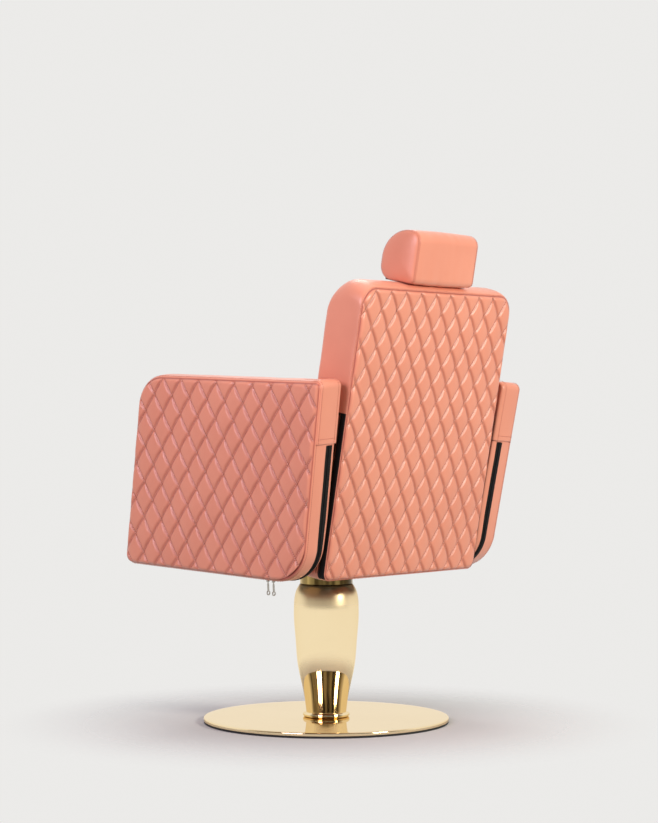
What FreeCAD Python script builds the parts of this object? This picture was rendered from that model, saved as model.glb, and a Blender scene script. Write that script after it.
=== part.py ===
import FreeCAD, Part
import math
import os

# Threading chair: a pump base, a quilted seat with slab arms, a reclining back and a headrest.
# Millimetres. Origin at the floor under the column's axis, +Z up, the chair faces -Y,
# and the sitter's left arm is at +X.

V = FreeCAD.Vector
X_AXIS = V(1, 0, 0)
Y_AXIS = V(0, 1, 0)
Z_AXIS = V(0, 0, 1)

# General clearances
cut_overrun = 2.0
turning_clearance = 0.05
part_clearance = 0.3
smallest_rounding = 4.0

# Disc base
disc_radius = 280.0
pad_thickness = 5.0
pad_inset = 1.0
disc_rim_height = 7.0
disc_rim_rounding = 2.6
disc_wall = 2.5
disc_bore_clearance = 0.6
weight_plate_inset = 9.0

# Pump
flange_radius = 43.0
flange_thickness = 8.0
flange_bolt_circle_radius = 34.5
flange_bolt_radius = 4.0
flange_bolt_head_radius = 6.0
flange_bolt_head_height = 5.0
flange_bolt_count = 4
pump_radius = 26.0
pump_bottom_wall = 8.0
pump_top_z = 298.0
gland_radius = 31.0
gland_height = 14.0
gland_grip = 6.0
rod_radius = 14.0
rod_bottom_gap = 10.0

# Vase-shaped column cover
foot_ring_radius = 53.5
foot_ring_height = 12.0
vase_height = 290.0
vase_radius = 74.5
vase_wall = 1.6
vase_height_shares = [0.0, 0.11, 0.20, 0.37, 0.56, 0.745, 0.87, 0.955, 1.0]
vase_radius_shares = [0.615, 0.67, 0.74, 0.88, 0.945, 1.0, 0.985, 0.915, 0.815]
collar_radius = 60.5
collar_wall = 2.0
collar_running_gap = 1.5

# Pump pedal, which points to the chair's front right corner
pedal_heading_deg = 220.0
pedal_pivot_radius = 35.0
pedal_pivot_z = 62.0
pedal_reach = 218.0
pedal_bar_width = 14.0
pedal_bar_height = 9.0
pedal_pin_radius = 3.0
pedal_ear_thickness = 5.0
pedal_ear_height = 16.0
pedal_side_gap = 0.6
pedal_tread_length = 46.0
pedal_tread_width = 34.0
pedal_tread_height = 13.0
pedal_tread_rounding = 3.0
pedal_slot_margin = 3.0
pedal_slot_drop = 14.0

# Seat mounting
plate_width = 180.0
plate_thickness = 6.0
plate_bottom_z = 352.0
hub_radius = 30.0
hub_length = 30.0
hub_cap = 2.0
mount_bolt_radius = 4.0
mount_bolt_head_radius = 7.0
mount_bolt_head_height = 5.0
rail_width = 30.0
rail_height = 20.0
rail_wall = 2.5
rail_spacing = 140.0
rail_front_y = -230.0
rear_tube_front_y = 85.0
rear_tube_depth = 25.0
rear_tube_half_length = 200.0
arm_bar_width = 40.0
arm_bar_thickness = 6.0
arm_bar_front_y = -170.0
arm_bar_rear_y = 60.0
arm_leg_thickness = 5.0
arm_leg_height = 36.0

# Seat
seat_board_thickness = 18.0
seat_board_inset = 14.0
seat_front_y = -288.0
seat_top_z = 540.0
seat_front_rounding = 42.0
seat_crown = 14.0
seat_side_gap = 7.0
seat_side_rounding = 26.0
seat_back_gap = 4.0
apron_drop = 20.0

# Arms: one padded slab each side, leaning outwards and raked to the rear
arm_thickness = 72.0
arm_inner_half_width = 273.5
arm_low_z = 350.0
arm_splay_deg = 3.69
arm_rear_top_y = 286.0
arm_rear_top_z = 776.0
arm_front_top_y = -225.5
arm_front_top_z = 798.0
arm_front_low_y = -301.4
arm_front_low_z = 371.5
arm_rear_low_y = 214.6
arm_rear_low_z = 345.5
arm_front_top_rounding = 70.0
arm_rear_top_rounding = 18.0
arm_rear_low_rounding = 85.0
arm_front_low_rounding = 22.0
arm_edge_rounding = 11.0
arm_board_thickness = 15.0
arm_board_inset = 30.0
arm_panel_thickness = 12.0
arm_panel_inset = 2.0
cap_skin = 2.0
cap_bottom_z = 640.0
cap_front_y = 238.0
zip_middle_x = 21.5
zip_tape_width = 17.0
zip_tape_skin = 1.0
zip_coil_width = 5.5
zip_coil_skin = 1.1
zip_end_y = -205.0

# Quilting: diamonds sewn in two families of lines
diamond_width = 53.0
diamond_height = 81.0
groove_width = 11.0
groove_depth = 4.5
arm_quilt_turn_deg = -4.5
arm_quilt_y = -160.9
arm_quilt_z = 710.5
back_quilt_x = 204.4
back_quilt_drop = 40.7

# Zip sliders under each arm
slider_rear_y = 94.5
slider_front_y = 79.0
right_slider_shift = -150.0
slider_length = 11.0
slider_width = 9.5
slider_height = 4.5
slider_rounding = 1.2
slider_ear_height = 4.5
slider_ear_thickness = 1.3
slider_pin_radius = 0.8
tab_length = 31.0
tab_thickness = 1.8
tab_width = 4.6
tab_ring_radius = 5.2
tab_ring_hole_radius = 3.1
tab_eye_radius = 2.2

# Back, drawn upright about its hinge and then leaned
back_hinge_y = 174.6
back_hinge_z = 372.0
back_lean_deg = 10.1
back_side_gap = 1.5
back_low = -20.0
back_crown_top = 626.0
back_crown_rise = 10.0
back_front = -48.0
back_rear = 48.0
back_panel_thickness = 18.0
back_corner_radius = 45.0
back_low_corner_radius = 20.0
back_front_top_rounding = 56.0
back_front_low_rounding = 18.0
back_board_thickness = 18.0
back_board_inset = 17.0
back_board_low = -8.0
back_notch_side = 40.0
back_notch_top = 22.0
back_zip_width = 28.0
back_zip_skin = 0.8
back_zip_top = 337.0
back_zip_edge = 4.0

# Recliner: two plates on the back turn on hollow pins, with a release shaft through them
hinge_plate_inner = 150.0
hinge_plate_thickness = 6.0
hinge_plate_half_width = 11.5
hinge_plate_height = 90.0
hinge_plate_gap = 1.0
link_thickness = 6.0
link_half_height = 11.0
recline_pin_radius = 7.0
pin_head_thickness = 3.0
release_shaft_radius = 4.0
release_lever_gap = 13.0
release_lever_thickness = 6.0
release_lever_half_width = 8.0
release_grip_y = 45.0
release_grip_z = 338.0
release_rod_radius = 4.0
release_knob_radius = 9.0
release_knob_length = 45.0
release_knob_inset = 5.5
release_knob_rounding = 4.0

# Headrest
headrest_half_width = 112.0
headrest_height = 113.5
headrest_gap = 1.0
headrest_board_thickness = 3.0
headrest_board_inset = 12.0
headrest_front_rounding = 60.0
headrest_rear_top_rounding = 24.0
headrest_low_rounding = 12.0
headrest_front_low_rounding = 24.0
headrest_end_thickness = 9.0
headrest_end_rounding = 7.0
post_half_spacing = 62.0
post_v = -1.0
post_radius = 6.0
post_grip = 40.0
post_lift_in_guide = 15.0
guide_radius = 9.0
guide_length = 134.0
guide_flange_radius = 13.0
guide_flange_thickness = 1.5

# Heights and places that follow from the sizes above
disc_top_z = pad_thickness + disc_rim_height
weight_plate_top_z = disc_top_z - disc_wall
flange_top_z = weight_plate_top_z + flange_thickness
ring_top_z = disc_top_z + foot_ring_height
vase_top_z = ring_top_z + vase_height
vase_foot_radius = vase_radius * vase_radius_shares[0]
plate_top_z = plate_bottom_z + plate_thickness
rail_top_z = plate_top_z + rail_height
arm_bar_top_z = rail_top_z + arm_bar_thickness
seat_board_top_z = arm_bar_top_z + seat_board_thickness
rod_top_z = plate_bottom_z - hub_cap
hub_bottom_z = plate_bottom_z - hub_length
back_half_width = arm_inner_half_width - back_side_gap
back_notch_half_width = back_half_width - back_notch_side
back_seam_top = back_crown_top - back_crown_rise
back_quilt_z = back_seam_top - back_quilt_drop
back_cushion_rear = back_rear - back_panel_thickness
back_board_front = back_cushion_rear - back_board_thickness
headrest_low = back_crown_top + guide_flange_thickness + headrest_gap
headrest_cushion_low = headrest_low + headrest_board_thickness
headrest_top = headrest_low + headrest_height
guide_low = back_crown_top - guide_flange_thickness - guide_length
post_low = guide_low + post_lift_in_guide
release_lever_x = back_notch_half_width - release_lever_gap
release_knob_end_x = arm_inner_half_width + arm_thickness - release_knob_inset
splay = math.radians(arm_splay_deg)
lean = math.radians(back_lean_deg)


def box(x0, x1, y0, y1, z0, z1):
    return Part.makeBox(x1 - x0, y1 - y0, z1 - z0, V(x0, y0, z0))


def cylinder(radius, start, end):
    along = end - start
    return Part.makeCylinder(radius, along.Length, start, along)


def tube(radius, bore, start, end):
    return cylinder(radius, start, end).cut(cylinder(bore, start, end))


def rounded_wire(points, roundings):
    """A closed flat outline through the points, each corner an arc of its own radius."""
    edges = []
    starts = []
    ends = []
    middles = []
    count = len(points)
    for index in range(count):
        corner = points[index]
        before = (points[index - 1] - corner).normalize()
        after = (points[(index + 1) % count] - corner).normalize()
        half_angle = before.getAngle(after) / 2
        reach = roundings[index] / math.tan(half_angle)
        towards_centre = (before + after).normalize()
        centre_distance = roundings[index] / math.sin(half_angle)
        starts.append(corner + before * reach)
        ends.append(corner + after * reach)
        middles.append(corner + towards_centre * (centre_distance - roundings[index]))
    for index in range(count):
        if roundings[index] > 0:
            edges.append(Part.Arc(starts[index], middles[index], ends[index]).toShape())
        edges.append(Part.LineSegment(ends[index], starts[(index + 1) % count]).toShape())
    return Part.Wire(edges)


def slab(wire, along):
    return Part.Face(wire).extrude(along)


def fillet_near(shape, radius, test):
    edges = [edge for edge in shape.Edges if test(edge)]
    return shape.makeFillet(radius, edges)


def bolt(radius, length, head_radius, head_height, top):
    shank = cylinder(radius, top - Z_AXIS * length, top)
    corners = []
    for corner in range(7):
        angle = math.radians(60 * corner)
        corners.append(top + V(head_radius * math.cos(angle), head_radius * math.sin(angle), 0))
    head = Part.Face(Part.makePolygon(corners)).extrude(Z_AXIS * head_height)
    return shank.fuse(head)


def export(name, shape):
    shape.exportStep("parts/" + name + ".step")


def groove_family(hand, half_span, origin, across, up, outward):
    """Parallel V grooves along one family of diamond sides."""
    along = (across * (diamond_width * hand) + up * diamond_height).normalize()
    sideways = along.cross(outward).normalize()
    spacing = diamond_width * diamond_height / math.hypot(diamond_width, diamond_height)
    line_count = int(half_span / spacing) + 1
    prisms = []
    for step in range(-line_count, line_count + 1):
        start = origin + sideways * (spacing * step) - along * (2 * half_span)
        edge = sideways * groove_width / 2
        corners = [
            start - edge + outward * cut_overrun,
            start + edge + outward * cut_overrun,
            start + edge,
            start - outward * groove_depth,
            start - edge,
            start - edge + outward * cut_overrun,
        ]
        prisms.append(Part.Face(Part.makePolygon(corners)).extrude(along * (4 * half_span)))
    return prisms


def quilted(panel, half_span, origin, across, up, outward):
    """Sews diamonds into a panel's outer face."""
    for hand in (1, -1):
        panel = panel.cut(groove_family(hand, half_span, origin, across, up, outward))
    return panel


def build_base():
    """Everything that stands on the floor: pad, disc, column cover, pump and pedal bracket."""
    pad = cylinder(disc_radius - pad_inset, V(0, 0, 0), V(0, 0, pad_thickness))
    export("base_floor_pad", pad)

    plate_radius = disc_radius - weight_plate_inset
    weight_plate = cylinder(plate_radius, V(0, 0, pad_thickness), V(0, 0, weight_plate_top_z))
    export("base_weight_plate", weight_plate)

    cover = cylinder(disc_radius, V(0, 0, pad_thickness), V(0, 0, disc_top_z))
    cover = fillet_near(cover, disc_rim_rounding, lambda edge: edge.BoundBox.ZMin > pad_thickness
                        and edge.BoundBox.XLength > disc_radius)
    cover = cover.cut(weight_plate)
    bore_radius = flange_radius + disc_bore_clearance
    cover = cover.cut(cylinder(bore_radius, V(0, 0, 0), V(0, 0, disc_top_z + cut_overrun)))
    export("base_disc_cover", cover)

    ring_middle_z = disc_top_z + foot_ring_height / 2
    ring_bore = vase_foot_radius - vase_wall
    ring_flat_radius = foot_ring_radius - foot_ring_height / 3
    ring_outline = [
        Part.LineSegment(V(ring_bore, 0, disc_top_z), V(ring_flat_radius, 0, disc_top_z)),
        Part.Arc(V(ring_flat_radius, 0, disc_top_z), V(foot_ring_radius, 0, ring_middle_z),
                 V(ring_flat_radius, 0, ring_top_z)),
        Part.LineSegment(V(ring_flat_radius, 0, ring_top_z), V(ring_bore, 0, ring_top_z)),
        Part.LineSegment(V(ring_bore, 0, ring_top_z), V(ring_bore, 0, disc_top_z)),
    ]
    ring = Part.Face(Part.Wire([line.toShape() for line in ring_outline])).revolve(
        V(0, 0, 0), Z_AXIS, 360)
    export("shroud_foot_ring", ring)

    export("vase_shroud", vase_shroud().cut(pedal_slot()))
    build_pump()


def vase_curve(wall):
    points = []
    for height_share, radius_share in zip(vase_height_shares, vase_radius_shares):
        radius = vase_radius * radius_share - wall
        points.append(V(radius, 0, ring_top_z + vase_height * height_share))
    curve = Part.BSplineCurve()
    curve.interpolate(points)
    return curve.toShape(), points


def vase_shroud():
    outer, outer_points = vase_curve(0)
    inner, inner_points = vase_curve(vase_wall)
    foot = Part.LineSegment(inner_points[0], outer_points[0]).toShape()
    top = Part.LineSegment(outer_points[-1], inner_points[-1]).toShape()
    outline = Part.Wire([foot, outer, top, inner])
    return Part.Face(outline).revolve(V(0, 0, 0), Z_AXIS, 360)


def along_pedal(shape):
    """Turns a shape drawn along +X about the column's axis to the pedal's heading."""
    turned = shape.copy()
    turned.rotate(V(0, 0, 0), Z_AXIS, pedal_heading_deg)
    return turned


def pedal_slot():
    half_width = pedal_bar_width / 2 + pedal_slot_margin
    low = pedal_pivot_z - pedal_bar_height / 2 - pedal_slot_drop
    high = pedal_pivot_z + pedal_bar_height / 2 + pedal_slot_margin
    return along_pedal(box(pump_radius, vase_radius, -half_width, half_width, low, high))


def build_pump():
    flange = cylinder(flange_radius, V(0, 0, weight_plate_top_z), V(0, 0, flange_top_z))
    flange = flange.cut(cylinder(pump_radius, V(0, 0, 0), V(0, 0, flange_top_z + cut_overrun)))
    bolts = []
    for index in range(flange_bolt_count):
        angle = 2 * math.pi * (index + 0.5) / flange_bolt_count
        top = V(flange_bolt_circle_radius * math.cos(angle),
                flange_bolt_circle_radius * math.sin(angle), flange_top_z)
        bolts.append(bolt(flange_bolt_radius, flange_thickness, flange_bolt_head_radius,
                          flange_bolt_head_height, top))
    bolts = Part.makeCompound(bolts)
    export("pump_flange", flange.cut(bolts))
    export("pump_flange_bolts", bolts)

    barrel = cylinder(pump_radius, V(0, 0, weight_plate_top_z), V(0, 0, pump_top_z))
    bore = cylinder(rod_radius + turning_clearance,
                    V(0, 0, weight_plate_top_z + pump_bottom_wall),
                    V(0, 0, pump_top_z + gland_height))
    barrel = barrel.cut(bore)
    export("pump_cylinder", barrel)
    gland = cylinder(gland_radius, V(0, 0, pump_top_z - gland_grip),
                     V(0, 0, pump_top_z - gland_grip + gland_height))
    gland = gland.cut(cylinder(pump_radius, V(0, 0, 0), V(0, 0, pump_top_z)))
    export("pump_gland_cap", gland.cut(bore))

    ear_inner = pedal_bar_width / 2 + pedal_side_gap
    ear_outer = ear_inner + pedal_ear_thickness
    ear_end = pedal_pivot_radius + pedal_pin_radius * 2
    ears = []
    for hand in (-1, 1):
        low_y, high_y = sorted((hand * ear_inner, hand * ear_outer))
        ear = box(0, ear_end, low_y, high_y, pedal_pivot_z - pedal_ear_height / 2,
                  pedal_pivot_z + pedal_ear_height / 2)
        ears.append(ear.cut(cylinder(pump_radius, V(0, 0, 0), V(0, 0, pump_top_z))))
    pin = cylinder(pedal_pin_radius, V(pedal_pivot_radius, -ear_outer, pedal_pivot_z),
                   V(pedal_pivot_radius, ear_outer, pedal_pivot_z))
    export("pedal_bracket", along_pedal(Part.makeCompound(ears).cut(pin)))
    export("pedal_pin", along_pedal(pin))
    build_pedal()


def build_pedal():
    bar_start = pedal_pivot_radius - pedal_bar_height / 2
    tread_start = pedal_pivot_radius + pedal_reach - pedal_tread_length / 2
    bar_end = tread_start + pedal_tread_length / 2
    bar = box(bar_start, bar_end, -pedal_bar_width / 2, pedal_bar_width / 2,
              pedal_pivot_z - pedal_bar_height / 2, pedal_pivot_z + pedal_bar_height / 2)
    hole = cylinder(pedal_pin_radius + turning_clearance,
                    V(pedal_pivot_radius, -pedal_bar_width, pedal_pivot_z),
                    V(pedal_pivot_radius, pedal_bar_width, pedal_pivot_z))
    bar = bar.cut(hole)
    export("pedal_lever", along_pedal(bar))
    tread = box(tread_start, tread_start + pedal_tread_length, -pedal_tread_width / 2,
                pedal_tread_width / 2, pedal_pivot_z - pedal_tread_height / 2,
                pedal_pivot_z + pedal_tread_height / 2)
    tread = tread.makeFillet(pedal_tread_rounding, tread.Edges)
    export("pedal_tread", along_pedal(tread.cut(bar)))


def build_lift():
    rod_bottom_z = weight_plate_top_z + pump_bottom_wall + rod_bottom_gap
    export("piston_rod", cylinder(rod_radius, V(0, 0, rod_bottom_z), V(0, 0, rod_top_z)))


def build_seat_mount():
    collar = tube(collar_radius, collar_radius - collar_wall,
                  V(0, 0, vase_top_z + collar_running_gap), V(0, 0, plate_bottom_z))
    export("top_collar", collar)

    hub = cylinder(hub_radius, V(0, 0, hub_bottom_z), V(0, 0, plate_bottom_z))
    bore = cylinder(rod_radius + turning_clearance, V(0, 0, hub_bottom_z - cut_overrun),
                    V(0, 0, rod_top_z))
    export("swivel_hub", hub.cut(bore))

    half_plate = plate_width / 2
    plate = box(-half_plate, half_plate, -half_plate, half_plate, plate_bottom_z, plate_top_z)
    half_spacing = rail_spacing / 2
    bolts = []
    bolt_y = half_plate - mount_bolt_head_radius * 2
    for x in (-half_spacing, half_spacing):
        for y in (-bolt_y, bolt_y):
            top = V(x, y, -plate_bottom_z)
            length = plate_thickness + rail_wall
            bolts.append(bolt(mount_bolt_radius, length, mount_bolt_head_radius,
                              mount_bolt_head_height, top))
    bolts = Part.makeCompound(bolts)
    bolts.rotate(V(0, 0, 0), X_AXIS, 180)
    export("mount_bolts", bolts)
    export("seat_mount_plate", plate.cut(bolts))

    rails = []
    for x in (-half_spacing, half_spacing):
        rail = box(x - rail_width / 2, x + rail_width / 2, rail_front_y, rear_tube_front_y,
                   plate_top_z, rail_top_z)
        hollow = box(x - rail_width / 2 + rail_wall, x + rail_width / 2 - rail_wall,
                     rail_front_y - cut_overrun, rear_tube_front_y + cut_overrun,
                     plate_top_z + rail_wall, rail_top_z - rail_wall)
        rails.append(rail.cut(hollow).cut(bolts))
    export("seat_rails", Part.makeCompound(rails))

    rear_tube_rear_y = rear_tube_front_y + rear_tube_depth
    rear_tube = box(-rear_tube_half_length, rear_tube_half_length, rear_tube_front_y,
                    rear_tube_rear_y, plate_top_z, rail_top_z)
    hollow = box(-rear_tube_half_length - cut_overrun, rear_tube_half_length + cut_overrun,
                 rear_tube_front_y + rail_wall, rear_tube_rear_y - rail_wall,
                 plate_top_z + rail_wall, rail_top_z - rail_wall)
    export("seat_rear_tube", rear_tube.cut(hollow))
    build_arm_bars()


def build_arm_bars():
    bars = []
    leg_region_low = rail_top_z
    leg_region_high = arm_bar_top_z + arm_leg_height
    for y in (arm_bar_front_y, arm_bar_rear_y):
        reach = arm_inner_half_width + arm_thickness
        bar = box(-reach, reach, y - arm_bar_width / 2, y + arm_bar_width / 2, rail_top_z,
                  arm_bar_top_z)
        leg = box(-arm_leg_thickness, 0, y - arm_bar_width / 2, y + arm_bar_width / 2,
                  arm_low_z - arm_leg_height, arm_low_z + 2 * arm_leg_height)
        leg = place_arm(leg)
        leg = leg.common(box(0, reach, rail_front_y, back_hinge_y, leg_region_low,
                             leg_region_high))
        outside = place_arm(box(0, reach, rail_front_y, back_hinge_y, 0, arm_rear_top_z))
        bar = bar.cut(outside).cut(mirror(outside))
        bars.append(bar.fuse(leg).fuse(mirror(leg)).removeSplitter())
    export("arm_bars", Part.makeCompound(bars))


def mirror(shape):
    return shape.mirror(V(0, 0, 0), X_AXIS)


def place_arm(shape):
    """Leans a shape drawn against the upright plane x = 0 to its place on the left arm."""
    placed = shape.copy()
    placed.rotate(V(0, 0, arm_low_z), Y_AXIS, arm_splay_deg)
    placed.translate(X_AXIS * arm_inner_half_width)
    return placed


def export_pair(name, shape):
    """Exports a shape of the left arm and its mirror image on the right arm."""
    placed = place_arm(shape)
    export("left_" + name, placed)
    export("right_" + name, mirror(placed))


def export_slider_pair(name, shape, slope):
    """Exports a slider or its pull; the right arm's are parked further forward."""
    export("left_" + name, place_arm(shape))
    moved = shape.copy()
    moved.translate(V(0, math.cos(slope), math.sin(slope)) * right_slider_shift)
    export("right_" + name, mirror(place_arm(moved)))


def inset_corners(points, distance):
    moved = []
    for index in range(len(points)):
        corner = points[index]
        before = (points[index - 1] - corner).normalize()
        after = (points[(index + 1) % len(points)] - corner).normalize()
        towards_centre = (before + after).normalize()
        moved.append(corner + towards_centre * (distance / math.sin(before.getAngle(after) / 2)))
    return moved


def arm_slab(inset, x0, x1):
    """The arm's side outline, moved inwards by an inset, as a slab between two widths."""
    points = [
        V(x0, arm_rear_low_y, arm_rear_low_z),
        V(x0, arm_rear_top_y, arm_rear_top_z),
        V(x0, arm_front_top_y, arm_front_top_z),
        V(x0, arm_front_low_y, arm_front_low_z),
    ]
    roundings = [arm_rear_low_rounding, arm_rear_top_rounding, arm_front_top_rounding,
                 arm_front_low_rounding]
    roundings = [max(size - inset, smallest_rounding) for size in roundings]
    wire = rounded_wire(inset_corners(points, inset), roundings)
    return slab(wire, X_AXIS * (x1 - x0))


def build_arms():
    body_thickness = arm_thickness - arm_panel_thickness
    body = arm_slab(0, 0, body_thickness)
    rims = [edge for edge in body.Edges if edge.BoundBox.XMax < cut_overrun]
    body = body.makeFillet(arm_edge_rounding, rims)
    board = arm_slab(arm_board_inset, body_thickness - arm_board_thickness, body_thickness)
    export_pair("arm_board", board)
    export_pair("arm_body", body.cut(board))

    panel = arm_slab(arm_panel_inset, body_thickness, arm_thickness)
    turn = math.radians(arm_quilt_turn_deg)
    across = V(0, math.cos(turn), math.sin(turn))
    up = V(0, -math.sin(turn), math.cos(turn))
    origin = V(arm_thickness, arm_quilt_y, arm_quilt_z)
    half_span = arm_rear_top_y - arm_front_low_y
    export_pair("arm_quilted_panel", quilted(panel, half_span, origin, across, up, X_AXIS))
    build_arm_trim(body_thickness)


def build_arm_trim(body_thickness):
    cap = arm_slab(-cap_skin, arm_edge_rounding, body_thickness)
    cap = cap.cut(arm_slab(0, 0, body_thickness))
    cap_region = box(0, arm_thickness, cap_front_y, arm_rear_top_y + arm_thickness,
                     cap_bottom_z, arm_front_top_z)
    export_pair("arm_rear_cap", cap.common(cap_region))

    zip_region = box(0, arm_thickness, zip_end_y, arm_rear_top_y + arm_thickness, 0, cap_bottom_z)
    middle = zip_middle_x
    tape = arm_slab(-zip_tape_skin, middle - zip_tape_width / 2, middle + zip_tape_width / 2)
    tape = tape.cut(arm_slab(0, 0, arm_thickness)).common(zip_region)
    export_pair("arm_zip_tape", tape)
    coil_skin = zip_tape_skin + zip_coil_skin
    coil = arm_slab(-coil_skin, middle - zip_coil_width / 2, middle + zip_coil_width / 2)
    coil = coil.cut(arm_slab(-zip_tape_skin, 0, arm_thickness)).common(zip_region)
    export_pair("arm_zip_coil", coil)
    for name, y in (("front", slider_front_y), ("rear", slider_rear_y)):
        build_slider(name, y, coil_skin + part_clearance)


def build_slider(name, y, drop):
    """A zip slider under the arm's coil, with the pull tab that hangs from its pin."""
    low_edge = V(0, arm_rear_low_y, arm_rear_low_z) - V(0, arm_front_low_y, arm_front_low_z)
    slope_deg = math.degrees(math.atan2(low_edge.z, low_edge.y))
    edge_z = arm_front_low_z + (y - arm_front_low_y) * low_edge.z / low_edge.y
    seat = V(zip_middle_x, y, edge_z - drop / math.cos(math.radians(slope_deg)))

    ear_low = -slider_height - slider_ear_height
    slider = box(-slider_width / 2, slider_width / 2, -slider_length / 2, slider_length / 2,
                 -slider_height, 0)
    slider = slider.makeFillet(slider_rounding, slider.Edges)
    eye_half_length = tab_width / 4
    ear_inner = eye_half_length + part_clearance
    ear_outer = ear_inner + slider_ear_thickness
    pin_z = ear_low + slider_ear_height / 3
    for hand in (-1, 1):
        x0, x1 = sorted((hand * ear_inner, hand * ear_outer))
        slider = slider.fuse(box(x0, x1, -tab_eye_radius, tab_eye_radius, ear_low,
                                 -slider_height / 2))
    slider = slider.fuse(cylinder(slider_pin_radius, V(-ear_outer, 0, pin_z),
                                  V(ear_outer, 0, pin_z)))
    slider.rotate(V(0, 0, 0), X_AXIS, slope_deg)
    slider.translate(seat)
    slope = math.radians(slope_deg)
    export_slider_pair("zip_slider_" + name, slider.removeSplitter(), slope)

    plate_top = -tab_eye_radius / 2
    ring_z = -tab_length + tab_ring_radius
    ring = tube(tab_ring_radius, tab_ring_hole_radius, V(0, -tab_thickness / 2, ring_z),
                V(0, tab_thickness / 2, ring_z))
    plate_low = ring_z + tab_ring_hole_radius + part_clearance
    plate_shoulder = plate_top - 2 * tab_eye_radius
    neck = box(-eye_half_length, eye_half_length, -tab_thickness / 2, tab_thickness / 2,
               plate_shoulder, plate_top)
    plate = box(-tab_width / 2, tab_width / 2, -tab_thickness / 2, tab_thickness / 2,
                plate_low, plate_shoulder)
    eye = cylinder(tab_eye_radius, V(-eye_half_length, 0, 0), V(eye_half_length, 0, 0))
    tab = eye.fuse(neck).fuse(plate).fuse(ring)
    tab = tab.cut(cylinder(slider_pin_radius + turning_clearance, V(-tab_width, 0, 0),
                           V(tab_width, 0, 0)))
    pin = V(0, 0, pin_z)
    tab.translate(seat + V(0, -pin.z * math.sin(slope), pin.z * math.cos(slope)))
    export_slider_pair("zip_pull_" + name, tab.removeSplitter(), slope)


def build_seat():
    board_rear_y = back_hinge_y + back_front - seat_board_inset / 2
    board_half_width = arm_inner_half_width - seat_board_inset
    board = box(-board_half_width, board_half_width, seat_front_y + seat_board_inset, board_rear_y,
                arm_bar_top_z, seat_board_top_z)
    legs = place_arm(box(-arm_leg_thickness, 0, seat_front_y, back_hinge_y, 0, arm_rear_top_z))
    export("seat_board", board.cut(legs).cut(mirror(legs)))

    apron = box(-board_half_width, board_half_width, seat_front_y,
                seat_front_y + seat_board_inset, arm_bar_top_z - apron_drop, seat_board_top_z)
    export("seat_front_apron", apron)
    export("seat_cushion", seat_cushion())


def seat_cushion():
    """A box cushion with a crowned top, drawn-in sides and a rear face that follows the back."""
    rise = math.tan(splay)
    low_half = arm_inner_half_width + (seat_board_top_z - arm_low_z) * rise - seat_side_gap
    shoulder_z = seat_top_z - seat_crown
    top_half = arm_inner_half_width + (shoulder_z - arm_low_z) * rise - seat_side_gap
    shoulder_x = top_half - seat_side_rounding
    side_z = shoulder_z - seat_side_rounding
    round_middle = seat_side_rounding * (1 - math.sqrt(0.5))
    lines = [
        Part.LineSegment(V(-low_half, 0, seat_board_top_z), V(low_half, 0, seat_board_top_z)),
        Part.LineSegment(V(low_half, 0, seat_board_top_z), V(top_half, 0, side_z)),
        Part.Arc(V(top_half, 0, side_z),
                 V(top_half - round_middle, 0, shoulder_z - round_middle),
                 V(shoulder_x, 0, shoulder_z)),
        Part.Arc(V(shoulder_x, 0, shoulder_z), V(0, 0, seat_top_z), V(-shoulder_x, 0, shoulder_z)),
        Part.Arc(V(-shoulder_x, 0, shoulder_z),
                 V(-top_half + round_middle, 0, shoulder_z - round_middle),
                 V(-top_half, 0, side_z)),
        Part.LineSegment(V(-top_half, 0, side_z), V(-low_half, 0, seat_board_top_z)),
    ]
    front_view = Part.Wire([line.toShape() for line in lines])
    length = back_hinge_y - seat_front_y
    across = slab(front_view, Y_AXIS * (2 * length))
    across.translate(Y_AXIS * (seat_front_y - length / 2))

    half_rear = (back_front - seat_back_gap) / math.cos(lean)
    rear_low_y = back_hinge_y + half_rear + (seat_board_top_z - back_hinge_z) * math.tan(lean)
    rear_top_y = back_hinge_y + half_rear + (seat_top_z - back_hinge_z) * math.tan(lean)
    reach = arm_inner_half_width + arm_thickness
    corners = [
        V(-reach, seat_front_y, seat_board_top_z),
        V(-reach, rear_low_y, seat_board_top_z),
        V(-reach, rear_top_y, seat_top_z),
        V(-reach, seat_front_y, seat_top_z),
    ]
    side_view = rounded_wire(corners, [seat_crown / 2, seat_crown / 2, seat_crown,
                                       seat_front_rounding])
    return across.common(slab(side_view, X_AXIS * (2 * reach)))


def place_back(shape):
    """Leans a shape drawn upright about the hinge axis to the back's place in the chair."""
    placed = shape.copy()
    placed.rotate(V(0, 0, 0), X_AXIS, -back_lean_deg)
    placed.translate(V(0, back_hinge_y, back_hinge_z))
    return placed


def back_outline(inset, low, top, y):
    half = back_half_width - inset
    points = [V(-half, y, low), V(half, y, low), V(half, y, top), V(-half, y, top)]
    low_radius = back_low_corner_radius
    top_radius = back_corner_radius
    return rounded_wire(points, [low_radius, low_radius, top_radius, top_radius])


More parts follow.
